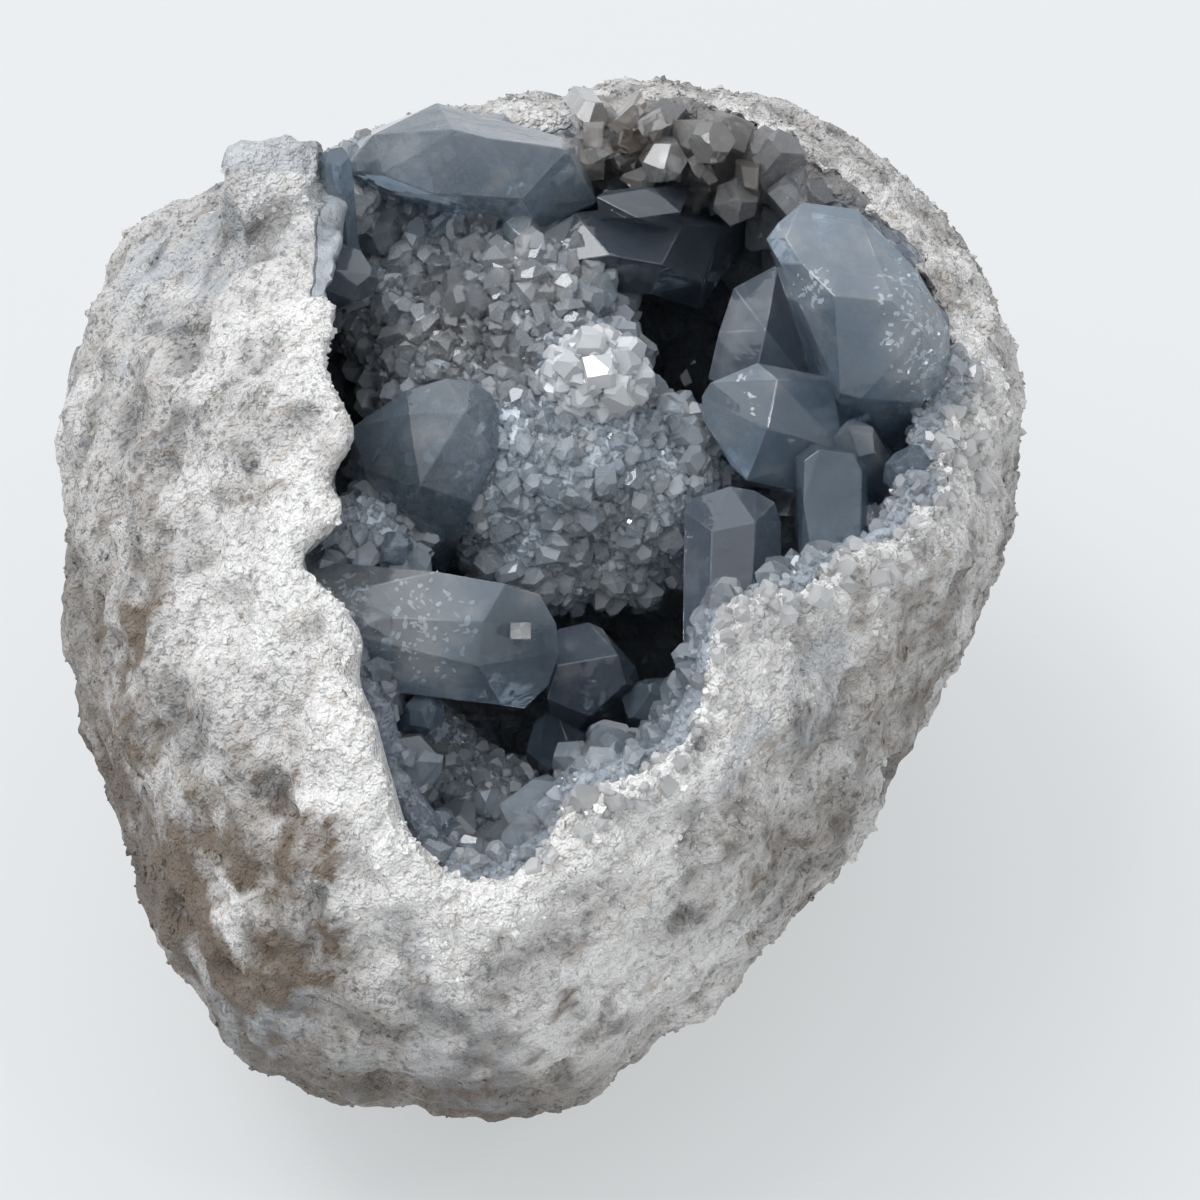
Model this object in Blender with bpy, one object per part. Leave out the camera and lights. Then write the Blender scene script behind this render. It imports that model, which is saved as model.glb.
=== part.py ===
"""Celestite geode: a hollow nodule of pale rock, broken open, lined with grey-blue crystals.

The egg-shaped nodule lies on its side on a small flat spot, long axis front to back. Its
broken mouth looks forwards and up. Shapes are laid out in face axes: u to the right, v up
the open face and w out of it, in millimetres from the nodule's centre.
"""

import math
import random

import bmesh
import bpy
from mathutils import Matrix, Vector, noise

MM = 0.001

# The open face leans back halfway between upright and flat.
FACE_TILT = math.radians(45)
RIGHT = Vector((1, 0, 0))
UP = Vector((0, math.sin(FACE_TILT), math.cos(FACE_TILT)))
OUT = Vector((0, -math.cos(FACE_TILT), math.sin(FACE_TILT)))

# The egg, in world axes: half its width, half its length and half its height.
HALF_WIDTH, HALF_LENGTH, HALF_HEIGHT = 48.5, 57.0, 45.0
CENTRE_HEIGHT = 43.0
# The nodule's centre stands a little off the origin, which is under the middle of the whole.
CENTRE = Vector((-0.2, -1.0, CENTRE_HEIGHT))

# Half breadths of the nodule across the open face, every 15 degrees from u towards v.
OUTLINE_RADII = (
    45.1, 50.2, 54.8, 56.5, 56.8, 55.3, 52.2, 51.6, 51.6, 55.2, 53.9, 49.8,
    46.8, 47.2, 46.8, 50.4, 53.2, 50.6, 49.8, 45.1, 41.1, 38.6, 39.1, 40.1,
)
ROCK_LUMP_HEIGHT, ROCK_LUMP_SIZE = 1.3, 12.0

# Pits in the rock: a point near the middle of each, its radius and its depth.
PITS = (
    ((-33, 32, 20), 6.0, 2.2), ((-33, 24, 27), 4.5, 1.2), ((-39, 16, 24), 4.5, 1.3),
    ((-26, -4, 38), 4.0, 1.2), ((-18, -39, 22), 5.5, 1.6), ((-38, -20, 22), 5.0, 1.4),
    ((38, -6, 12), 5.0, 1.3), ((10, -38, 24), 6.0, 1.2), ((20, 30, -40), 8.0, 2.0),
    ((-20, 10, -48), 8.0, 1.8), ((0, 48, -22), 7.0, 1.6), ((40, 20, -20), 6.5, 1.5),
)

# The crystal block that stands up out of the left of the rim, as root, tip, width and thickness.
RIM_BLOCK = ((-25.4, 20.0, 18.0), (-25.0, 43.6, 15.0), 11.2, 14.0)

# The broken edge of the mouth, as u and v, measured where w is MOUTH_LEVEL.
MOUTH_LEVEL = 40.0
MOUTH = (
    (-16.0, 40.5), (-17.2, 34.0), (-17.4, 29.4), (-18.0, 27.4), (-17.6, 24.4),
    (-18.6, 23.2), (-18.7, 20.0), (-17.0, 17.3), (-15.3, 14.5), (-18.0, 12.3),
    (-18.4, 10.2), (-17.0, 7.8), (-18.4, 6.0), (-21.6, 4.2), (-20.6, 1.9),
    (-17.0, -0.4), (-15.0, -3.5), (-15.9, -7.2), (-14.2, -10.0), (-13.2, -14.0),
    (-12.2, -17.2), (-11.3, -20.8), (-8.3, -24.4), (-6.0, -25.8), (-1.7, -25.2),
    (1.3, -22.0), (2.6, -18.4), (6.0, -16.9), (12.2, -14.2), (15.4, -9.0),
    (17.0, -0.9), (22.0, 0.4), (28.2, 4.0), (33.2, 6.3), (35.8, 10.0),
    (37.2, 16.0), (38.2, 20.2), (36.9, 24.8), (34.2, 30.4), (30.4, 35.0),
    (26.2, 38.4), (22.0, 41.6), (15.0, 44.6), (7.8, 45.2), (1.8, 44.8),
    (-5.0, 43.6), (-11.6, 42.4),
)
MOUTH_MIDDLE = (8.0, 12.0)
MOUTH_FLOOR, MOUTH_TOP = 6.0, 75.0
# The mouth narrows outwards, as a cone with its point this far out from the centre.
CONE_POINT_U, CONE_POINT_W = 6.0, 353.0

# The hollow is three lobes run together, each as its middle and its half sizes.
LOBES = (
    ((9.0, 11.0, 6.0), (30.5, 35.0, 33.0)),
    ((-6.0, -9.0, 13.0), (18.0, 20.5, 27.0)),
    ((-11.0, 14.0, 10.0), (20.0, 24.0, 26.5)),
)
HOLLOW_MIDDLE = (4.0, 4.0, 8.0)
ROCK_GAP, CLIP_GAP = 0.35, 0.15
LINING = 5.0
# How many corners the faceted skins are given.
NODULE_CORNERS, INNER_CORNERS, ROOM_CORNERS = 1560, 330, 130
HOLLOW_CORNERS, LUMP_CORNERS = 240, 20
LINING_ROUGHNESS = 1.2
# How far the crystal lining stops below the rock's skin, and how thick it is in the mouth.
RIM_SETBACK = 0.9
THROAT_SCALE = 0.93
THROAT_MIDDLE = (-13.0, 8.0)
LEDGE_THICKNESS = 4.0

# Large crystals: root, tip, width, thickness, and the turn of the broad face in degrees.
LARGE_CRYSTALS = {
    "lower_left": ((-24, -2, 27), (1.6, -4.5, 31), 12.0, 11.0, 0),
    "left_middle": ((-15, 4, 8), (-8, 16.5, 31), 14.0, 10.0, 20),
    "upper_left": ((-22, 39.0, 8), (6.0, 38.0, 18), 12.5, 12.0, -20),
    "top_middle": ((20, 36, -4), (2, 31.0, 14), 11.0, 9.0, 15),
    "right_blue": ((36, 13, 5), (23.0, 37.0, 24), 13.5, 9.0, 10),
    "right_heart": ((32, 14, 6), (16.0, 17.0, 20), 10.5, 10.0, 0),
    "right_dark": ((33, 18, -9), (18.0, 29.0, 8), 8.0, 5.0, 0),
    "right_small": ((28, 0, 10), (26.8, 14.5, 22), 6.5, 4.5, 0),
    "right_tall": ((20, -14, 8), (18.0, 9.5, 24), 9.2, 8.0, 10),
    "low_middle": ((4, -17, 2), (3.5, -4.0, 18), 8.5, 7.0, -15),
    "low_right": ((13, -14, 4), (9.5, -8.0, 18), 6.0, 6.0, 20),
    "low_left": ((4, -18, 4), (-0.5, -10.5, 18), 6.5, 6.0, 45),
    "on_lower_left": ((-9, -13, 20), (-10.0, -9.0, 34), 5.0, 4.0, 0),
}

# Rounded lumps of fine crystals: middle and radius.
LUMPS = (
    ((-8.0, 22.0, 8.0), 9.0), ((-12.0, 29.0, 2.0), 9.0), ((-4.0, 33.0, 4.0), 8.0),
    ((0.0, 27.0, 10.0), 9.0), ((3.0, 21.0, 14.0), 8.0), ((5.5, 20.5, 24.0), 5.2),
    ((-3.0, 12.5, 18.0), 8.5), ((4.5, 14.0, 20.0), 8.0), ((10.0, 11.5, 16.0), 8.5),
    ((0.0, 6.0, 16.0), 7.5), ((7.5, 5.5, 14.0), 6.5), ((13.0, 7.0, 12.0), 6.0),
    ((-16.0, 4.5, 24.0), 6.0), ((-5.0, -22.0, 16.0), 7.5), ((-11.0, -17.0, 14.0), 6.5),
)
LUMP_ROUGHNESS = 0.12

# Small stout crystals: spread over the lining, on every lump, and along the rim.
LINING_CRYSTALS, CRYSTALS_ON_LUMP = 42, 3
SMALL_WIDTH = (3.4, 5.8)
RIM_CRYSTAL_WIDTH = (2.6, 4.4)
# Where along the mouth's edge, by place in MOUTH, crystals stand at the rim.
RIM_CRYSTAL_PLACES = (22, 24, 26, 28, 29, 31, 32, 33, 35, 36, 38, 39, 41)

ROCK_COLOUR = (0.70, 0.68, 0.66, 1.0)
CRYSTAL_COLOUR = (0.42, 0.49, 0.56, 1.0)


def in_world(u, v, w):
    """A point given in face axes and millimetres, in world axes and metres."""
    return (CENTRE + RIGHT * u + UP * v + OUT * w) * MM


def outline_radius(angle):
    """The nodule's half breadth at an angle, on a smooth closed curve through OUTLINE_RADII."""
    count = len(OUTLINE_RADII)
    place = (angle / math.tau * count) % count
    step = int(place)
    share = place - step
    before, first, second, after = (OUTLINE_RADII[(step + k) % count] for k in (-1, 0, 1, 2))
    bend = (after - before) + 3 * (first - second)
    return first + 0.5 * share * (
        second - before + share * (2 * before - 5 * first + 4 * second - after + share * bend)
    )


def swell(u, v):
    """How much wider than the plain egg the nodule is, in the direction of u and v."""
    half_up = math.hypot(HALF_LENGTH * UP.y, HALF_HEIGHT * UP.z)
    angle = math.atan2(v, u)
    plain = 1 / math.hypot(math.cos(angle) / HALF_WIDTH, math.sin(angle) / half_up)
    return outline_radius(angle) / plain


def nodule_point(direction, shrink=0.0):
    """Where the nodule's skin lies in a direction from its centre, in face axes."""
    egg = Vector((direction.x * HALF_WIDTH, direction.y * HALF_LENGTH, direction.z * HALF_HEIGHT))
    u, v, w = egg.dot(RIGHT), egg.dot(UP), egg.dot(OUT)
    wider = swell(u, v)
    skin = Vector((u * wider, v * wider, w))
    rise = noise.noise(skin / ROCK_LUMP_SIZE) + 0.5 * noise.noise(skin * 2.3 / ROCK_LUMP_SIZE)
    rise = rise * ROCK_LUMP_HEIGHT - shrink
    for middle, radius, depth in PITS:
        away = (skin - Vector(middle)).length / (1.3 * radius)
        if away < 1:
            rise -= depth * (1 - away * away) * 1.6
    return skin * (1 + rise / skin.length)


def skin_level(u, v):
    """How far out of the face the plain skin lies at u and v."""
    wider = swell(u, v)
    flat = RIGHT * (u / wider) + UP * (v / wider)
    halves = (HALF_WIDTH, HALF_LENGTH, HALF_HEIGHT)
    step = Vector([x / h for x, h in zip(OUT, halves)])
    start = Vector([x / h for x, h in zip(flat, halves)])
    a, b, c = step.dot(step), start.dot(step), start.dot(start) - 1
    return (-b + math.sqrt(max(0.0, b * b - a * c))) / a


def cavity_point(direction, shrink, rough=0.0, dice=None):
    """Where the hollow's wall lies in a direction from HOLLOW_MIDDLE, in face axes."""
    start = Vector(HOLLOW_MIDDLE)
    reach = 0.0
    for middle, halves in LOBES:
        step = Vector([d / h for d, h in zip(direction, halves)])
        offset = Vector([(s - m) / h for s, m, h in zip(start, middle, halves)])
        a, b, c = step.dot(step), offset.dot(step), offset.dot(offset) - 1
        reach = max(reach, (-b + math.sqrt(b * b - a * c)) / a)
    jitter = dice.uniform(-rough, rough) if dice else 0.0
    return start + direction * (reach - shrink + jitter)


def new_object(name, mesh_builder, helper=False):
    """An object whose mesh comes from a function that fills a bmesh."""
    shape = bmesh.new()
    mesh_builder(shape)
    bmesh.ops.recalc_face_normals(shape, faces=shape.faces)
    mesh = bpy.data.meshes.new(name)
    shape.to_mesh(mesh)
    shape.free()
    obj = bpy.data.objects.new(name, mesh)
    bpy.context.scene.collection.objects.link(obj)
    if helper:
        obj.hide_render = True
        obj.display_type = "WIRE"
    return obj


def boolean(obj, operation, other, own_overlaps=False):
    """A live Boolean with the exact solver."""
    modifier = obj.modifiers.new(operation.title(), "BOOLEAN")
    modifier.operation = operation
    modifier.object = other
    modifier.solver = "EXACT"
    modifier.use_self = own_overlaps


def spiral_direction(step, count):
    """One of count directions spread evenly over a sphere, by the golden angle."""
    height = 1 - 2 * (step + 0.5) / count
    turn = step * math.pi * (3 - math.sqrt(5))
    flat = math.sqrt(1 - height * height)
    return Vector((flat * math.cos(turn), flat * math.sin(turn), height))


def leaning(way, amount, dice):
    return (way + Vector([dice.uniform(-amount, amount) for _ in range(3)])).normalized()


def add_ball(shape, corner_count, place, unevenness=0.0):
    """A closed ball of flat triangles, its corners where place puts evenly spread directions."""
    ball = bmesh.new()
    dice = random.Random(1)
    for step in range(corner_count):
        way = leaning(spiral_direction(step, corner_count), unevenness, dice)
        ball.verts.new(way)
    bmesh.ops.convex_hull(ball, input=ball.verts)
    ball.verts.ensure_lookup_table()
    copies = [shape.verts.new(in_world(*place(corner.co.normalized()))) for corner in ball.verts]
    ball.verts.index_update()
    for face in ball.faces:
        shape.faces.new([copies[corner.index] for corner in face.verts])
    ball.free()


def fill_nodule(shape):
    add_ball(shape, NODULE_CORNERS, nodule_point, unevenness=0.02)


def fill_inner_nodule(shape):
    add_ball(shape, INNER_CORNERS, lambda way: nodule_point(way, RIM_SETBACK))


def fill_cavity(shrink, corner_count, rough=0.0, seed=0):
    """A function that fills a bmesh with the hollow's form, drawn in by shrink."""
    def fill(shape):
        dice = random.Random(seed)
        add_ball(shape, corner_count, lambda way: cavity_point(way, shrink, rough, dice))
    return fill


def fill_mouth(scale, floor, middle=MOUTH_MIDDLE):
    """A function that fills a bmesh with the tapering plug that breaks the mouth open."""
    def fill(shape):
        rings = []
        for level in (floor, MOUTH_TOP):
            taper = (CONE_POINT_W - level) / (CONE_POINT_W - MOUTH_LEVEL)
            ring = []
            for u, v in MOUTH:
                inset_u = middle[0] + (u - middle[0]) * scale
                inset_v = middle[1] + (v - middle[1]) * scale
                spread_u = CONE_POINT_U + (inset_u - CONE_POINT_U) * taper
                ring.append(shape.verts.new(in_world(spread_u, inset_v * taper, level)))
            rings.append(ring)
        floor_ring, top_ring = rings
        for k, corner in enumerate(floor_ring):
            after = (k + 1) % len(floor_ring)
            shape.faces.new((corner, floor_ring[after], top_ring[after], top_ring[k]))
        shape.faces.new(floor_ring)
        shape.faces.new(top_ring)
    return fill


def crystal_axes(root, tip, turn):
    """Length, across and through directions of a crystal whose broad face looks out of the mouth."""
    along = (tip - root).normalized()
    across = along.cross(Vector((0, 0, 1)))
    if across.length < 0.2:
        across = along.cross(Vector((0, 1, 0)))
    across = Matrix.Rotation(math.radians(turn), 3, along) @ across.normalized()
    return along, across, across.cross(along)


def add_crystal(shape, root, tip, width, thickness, turn, crown=0.32, crown_spread=(0.55, 0.3)):
    """A six-sided tabular prism with a bevelled, chisel-shaped end, as one closed shell."""
    root, tip = Vector(root), Vector(tip)
    along, across, through = crystal_axes(root, tip, turn)
    section = ((-0.5, 0.1), (-0.3, 0.5), (0.32, 0.5), (0.5, -0.06), (0.28, -0.5), (-0.34, -0.5))
    shoulder = tip - along * (crown * min(width, thickness))
    rings = []
    for middle, spread_w, spread_t in ((root, 1, 1), (shoulder, 1, 1), (tip, *crown_spread)):
        rings.append([
            shape.verts.new(in_world(
                *(middle + across * (x * width * spread_w) + through * (y * thickness * spread_t))
            ))
            for x, y in section
        ])
    for low, high in zip(rings, rings[1:]):
        for k in range(len(section)):
            after = (k + 1) % len(section)
            shape.faces.new((low[k], low[after], high[after], high[k]))
    shape.faces.new(rings[0])
    shape.faces.new(rings[-1])


def add_small_crystal(shape, root, along, width, dice):
    """A stout rhombic block with its end bevelled to a small flat, as one closed shell."""
    across = along.orthogonal().normalized()
    across = Matrix.Rotation(dice.uniform(0, math.tau), 3, along) @ across
    through = across.cross(along)
    flatness = dice.uniform(0.6, 1.0)
    height = width * dice.uniform(0.35, 0.75)
    corners = ((-0.5, -0.25), (0.2, -0.55), (0.5, 0.25), (-0.2, 0.55))
    rings = []
    for level, spread in ((-0.6 * width, 0.9), (height * 0.6, 1.0), (height, 0.5)):
        middle = root + along * level
        rings.append([
            shape.verts.new(in_world(*(
                middle
                + across * (x * width * spread)
                + through * (y * width * spread * flatness)
            )))
            for x, y in corners
        ])
    for low, high in zip(rings, rings[1:]):
        for k in range(4):
            after = (k + 1) % 4
            shape.faces.new((low[k], low[after], high[after], high[k]))
    shape.faces.new(rings[0])
    shape.faces.new(rings[-1])


def fill_rim_block(shape):
    root, tip, width, thickness = RIM_BLOCK
    add_crystal(shape, root, tip, width, thickness, 0, crown=0.12, crown_spread=(0.86, 0.8))


def fill_large_crystals(shape):
    for root, tip, width, thickness, turn in LARGE_CRYSTALS.values():
        add_crystal(shape, root, tip, width, thickness, turn)


def fill_lumps(shape):
    dice = random.Random(11)
    for middle, radius in LUMPS:
        def place(way, centre=Vector(middle), size=radius):
            return centre + way * (size * (1 + dice.uniform(-LUMP_ROUGHNESS, LUMP_ROUGHNESS)))
        add_ball(shape, LUMP_CORNERS, place)


def fill_lining_crystals(shape):
    """Small crystals all round the hollow, rooted in the lining and pointing inwards."""
    dice = random.Random(5)
    for step in range(LINING_CRYSTALS):
        way = spiral_direction(step, LINING_CRYSTALS)
        if way.z < 0.3:
            root = cavity_point(way, LINING)
            add_small_crystal(shape, root, leaning(-way, 0.6, dice), dice.uniform(*SMALL_WIDTH), dice)


def fill_lump_crystals(shape):
    """Small crystals standing out of the side of every lump that faces the mouth."""
    dice = random.Random(8)
    for middle, radius in LUMPS:
        for step in range(CRYSTALS_ON_LUMP):
            way = spiral_direction(step, 2 * CRYSTALS_ON_LUMP)
            root = Vector(middle) + way * (radius * 0.95)
            add_small_crystal(shape, root, leaning(way, 0.5, dice), dice.uniform(*SMALL_WIDTH), dice)


def fill_rim_crystals(shape):
    """Small crystals along the stretch of rim where the lining comes up to the rock's edge."""
    dice = random.Random(2)
    for place in RIM_CRYSTAL_PLACES:
        inset, depth = ((0.96, 3.5), (0.93, 6.0))[place % 2]
        u = MOUTH_MIDDLE[0] + (MOUTH[place][0] - MOUTH_MIDDLE[0]) * inset
        v = MOUTH_MIDDLE[1] + (MOUTH[place][1] - MOUTH_MIDDLE[1]) * inset
        w = skin_level(u, v)
        taper = (CONE_POINT_W - w) / (CONE_POINT_W - MOUTH_LEVEL)
        root = Vector((CONE_POINT_U + (u - CONE_POINT_U) * taper, v * taper, w - depth))
        inwards = Vector((MOUTH_MIDDLE[0] - u, MOUTH_MIDDLE[1] - v, 26)).normalized()
        width = dice.uniform(*RIM_CRYSTAL_WIDTH)
        add_small_crystal(shape, root, leaning(inwards, 0.4, dice), width, dice)


def fill_table_cutter(shape):
    """Everything below the table, which leaves the nodule its small flat spot."""
    bmesh.ops.create_cube(shape, size=0.4, matrix=Matrix.Translation((0, 0, -0.2)))


def give_material(obj, name, colour, roughness, transmission=0.0):
    material = bpy.data.materials.new(name)
    material.use_nodes = True
    surface = material.node_tree.nodes["Principled BSDF"]
    surface.inputs["Base Color"].default_value = colour
    surface.inputs["Roughness"].default_value = roughness
    surface.inputs["Metallic"].default_value = 0.0
    surface.inputs["Transmission Weight"].default_value = transmission
    obj.data.materials.append(material)


def build_rock():
    """The nodule with its rim block, flat spot, hollow and broken mouth."""
    rock = new_object("host_rock", fill_nodule)
    boolean(rock, "UNION", new_object("rim_block_form", fill_rim_block, helper=True))
    boolean(rock, "DIFFERENCE", new_object("table_cutter", fill_table_cutter, helper=True))
    boolean(rock, "DIFFERENCE", new_object("hollow_cutter", fill_cavity(0, ROOM_CORNERS), helper=True))
    plug = fill_mouth(1.0, MOUTH_FLOOR)
    boolean(rock, "DIFFERENCE", new_object("mouth_cutter", plug, helper=True))
    give_material(rock, "weathered_rock", ROCK_COLOUR, 0.85)


def build_crust():
    """The lining of the hollow with its crystals, all one piece, a hair clear of the rock."""
    crust = new_object("crystal_crust", fill_cavity(ROCK_GAP + CLIP_GAP, ROOM_CORNERS))
    mouth = fill_mouth(0.98, MOUTH_FLOOR + ROCK_GAP + CLIP_GAP)
    hollow = fill_cavity(LINING, HOLLOW_CORNERS, LINING_ROUGHNESS, seed=3)
    throat = fill_mouth(THROAT_SCALE, MOUTH_FLOOR + LEDGE_THICKNESS, THROAT_MIDDLE)
    boolean(crust, "UNION", new_object("crust_mouth_form", mouth, helper=True))
    boolean(crust, "INTERSECT", new_object("crust_rim_form", fill_inner_nodule, helper=True))
    boolean(crust, "DIFFERENCE", new_object("open_hollow", hollow, helper=True))
    boolean(crust, "DIFFERENCE", new_object("open_throat", throat, helper=True))
    for name, fill in (
        ("lump_forms", fill_lumps),
        ("large_crystal_forms", fill_large_crystals),
        ("lining_crystal_forms", fill_lining_crystals),
        ("lump_crystal_forms", fill_lump_crystals),
        ("rim_crystal_forms", fill_rim_crystals),
    ):
        boolean(crust, "UNION", new_object(name, fill, helper=True), own_overlaps=True)
    boolean(crust, "INTERSECT", build_room())
    give_material(crust, "celestite", CRYSTAL_COLOUR, 0.15, 0.5)


def build_room():
    """All the space the crust may fill, so that no crystal runs into the rock."""
    room = new_object("crust_room", fill_cavity(ROCK_GAP, ROOM_CORNERS), helper=True)
    mouth = fill_mouth(0.985, MOUTH_FLOOR + ROCK_GAP)
    boolean(room, "UNION", new_object("crust_room_mouth", mouth, helper=True))
    return room


def main():
    for obj in list(bpy.data.objects):
        bpy.data.objects.remove(obj)
    build_rock()
    build_crust()


main()
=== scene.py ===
"""Dresses the celestite geode: its weathered rock, the crystals in its hollow, and a pale table.

Shapes are laid out in face axes, as the solids are: u to the right, v up the open face and w
out of it, in millimetres from the nodule's centre.
"""

import math
import random

import bmesh
import bpy
import numpy as np
from bpy.props import FloatProperty, FloatVectorProperty, IntProperty, PointerProperty
from mathutils import Euler, Matrix, Vector, noise


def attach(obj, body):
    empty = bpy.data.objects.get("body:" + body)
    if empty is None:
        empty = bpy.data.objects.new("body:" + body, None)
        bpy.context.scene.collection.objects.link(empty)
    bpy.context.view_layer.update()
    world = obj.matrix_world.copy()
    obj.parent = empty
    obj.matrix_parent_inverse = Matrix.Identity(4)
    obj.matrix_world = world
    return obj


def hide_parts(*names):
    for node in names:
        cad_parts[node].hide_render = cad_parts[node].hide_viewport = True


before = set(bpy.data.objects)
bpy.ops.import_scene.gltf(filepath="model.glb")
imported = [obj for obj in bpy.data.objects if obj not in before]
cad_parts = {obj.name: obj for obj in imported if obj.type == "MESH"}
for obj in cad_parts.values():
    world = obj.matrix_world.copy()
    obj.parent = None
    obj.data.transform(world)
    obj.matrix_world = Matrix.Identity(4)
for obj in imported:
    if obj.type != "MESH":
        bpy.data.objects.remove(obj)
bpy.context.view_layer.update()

bl_info = {
    "name": "Celestite geode",
    "version": (1, 0, 0),
    "blender": (4, 5, 0),
    "location": "View3D > Sidebar > Geode",
    "description": "Dresses a broken geode with weathered rock and grey-blue crystals",
    "category": "Add Mesh",
}

MM = 0.001

FACE_TILT = math.radians(45)
RIGHT = Vector((1, 0, 0))
UP = Vector((0, math.sin(FACE_TILT), math.cos(FACE_TILT)))
OUT = Vector((0, -math.cos(FACE_TILT), math.sin(FACE_TILT)))
CENTRE = Vector((-0.2, -1.0, 43.0))

# The egg's half sizes, and its half breadths across the open face every 15 degrees.
HALF_SIZES = Vector((48.5, 57.0, 45.0))
OUTLINE_RADII = (
    45.1, 50.2, 54.8, 56.5, 56.8, 55.3, 52.2, 51.6, 51.6, 55.2, 53.9, 49.8,
    46.8, 47.2, 46.8, 50.4, 53.2, 50.6, 49.8, 45.1, 41.1, 38.6, 39.1, 40.1,
)

# The broken edge of the mouth, as u and v, measured where w is MOUTH_LEVEL.
MOUTH_LEVEL = 40.0
MOUTH = (
    (-16.0, 40.5), (-17.2, 34.0), (-17.4, 29.4), (-18.0, 27.4), (-17.6, 24.4),
    (-18.6, 23.2), (-18.7, 20.0), (-17.0, 17.3), (-15.3, 14.5), (-18.0, 12.3),
    (-18.4, 10.2), (-17.0, 7.8), (-18.4, 6.0), (-21.6, 4.2), (-20.6, 1.9),
    (-17.0, -0.4), (-15.0, -3.5), (-15.9, -7.2), (-14.2, -10.0), (-13.2, -14.0),
    (-12.2, -17.2), (-11.3, -20.8), (-8.3, -24.4), (-6.0, -25.8), (-1.7, -25.2),
    (1.3, -22.0), (2.6, -18.4), (6.0, -16.9), (12.2, -14.2), (15.4, -9.0),
    (17.0, -0.9), (22.0, 0.4), (28.2, 4.0), (33.2, 6.3), (35.8, 10.0),
    (37.2, 16.0), (38.2, 20.2), (36.9, 24.8), (34.2, 30.4), (30.4, 35.0),
    (26.2, 38.4), (22.0, 41.6), (15.0, 44.6), (7.8, 45.2), (1.8, 44.8),
    (-5.0, 43.6), (-11.6, 42.4),
)
MOUTH_MIDDLE = (8.0, 12.0)
MOUTH_FLOOR = 6.0
CONE_POINT_U, CONE_POINT_W = 6.0, 353.0

# The hollow's three lobes, each as its middle and its half sizes.
LOBES = (
    ((9.0, 11.0, 6.0), (30.5, 35.0, 33.0)),
    ((-6.0, -9.0, 13.0), (18.0, 20.5, 27.0)),
    ((-11.0, 14.0, 10.0), (20.0, 24.0, 26.5)),
)
HOLLOW_MIDDLE = (4.0, 4.0, 8.0)

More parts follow.
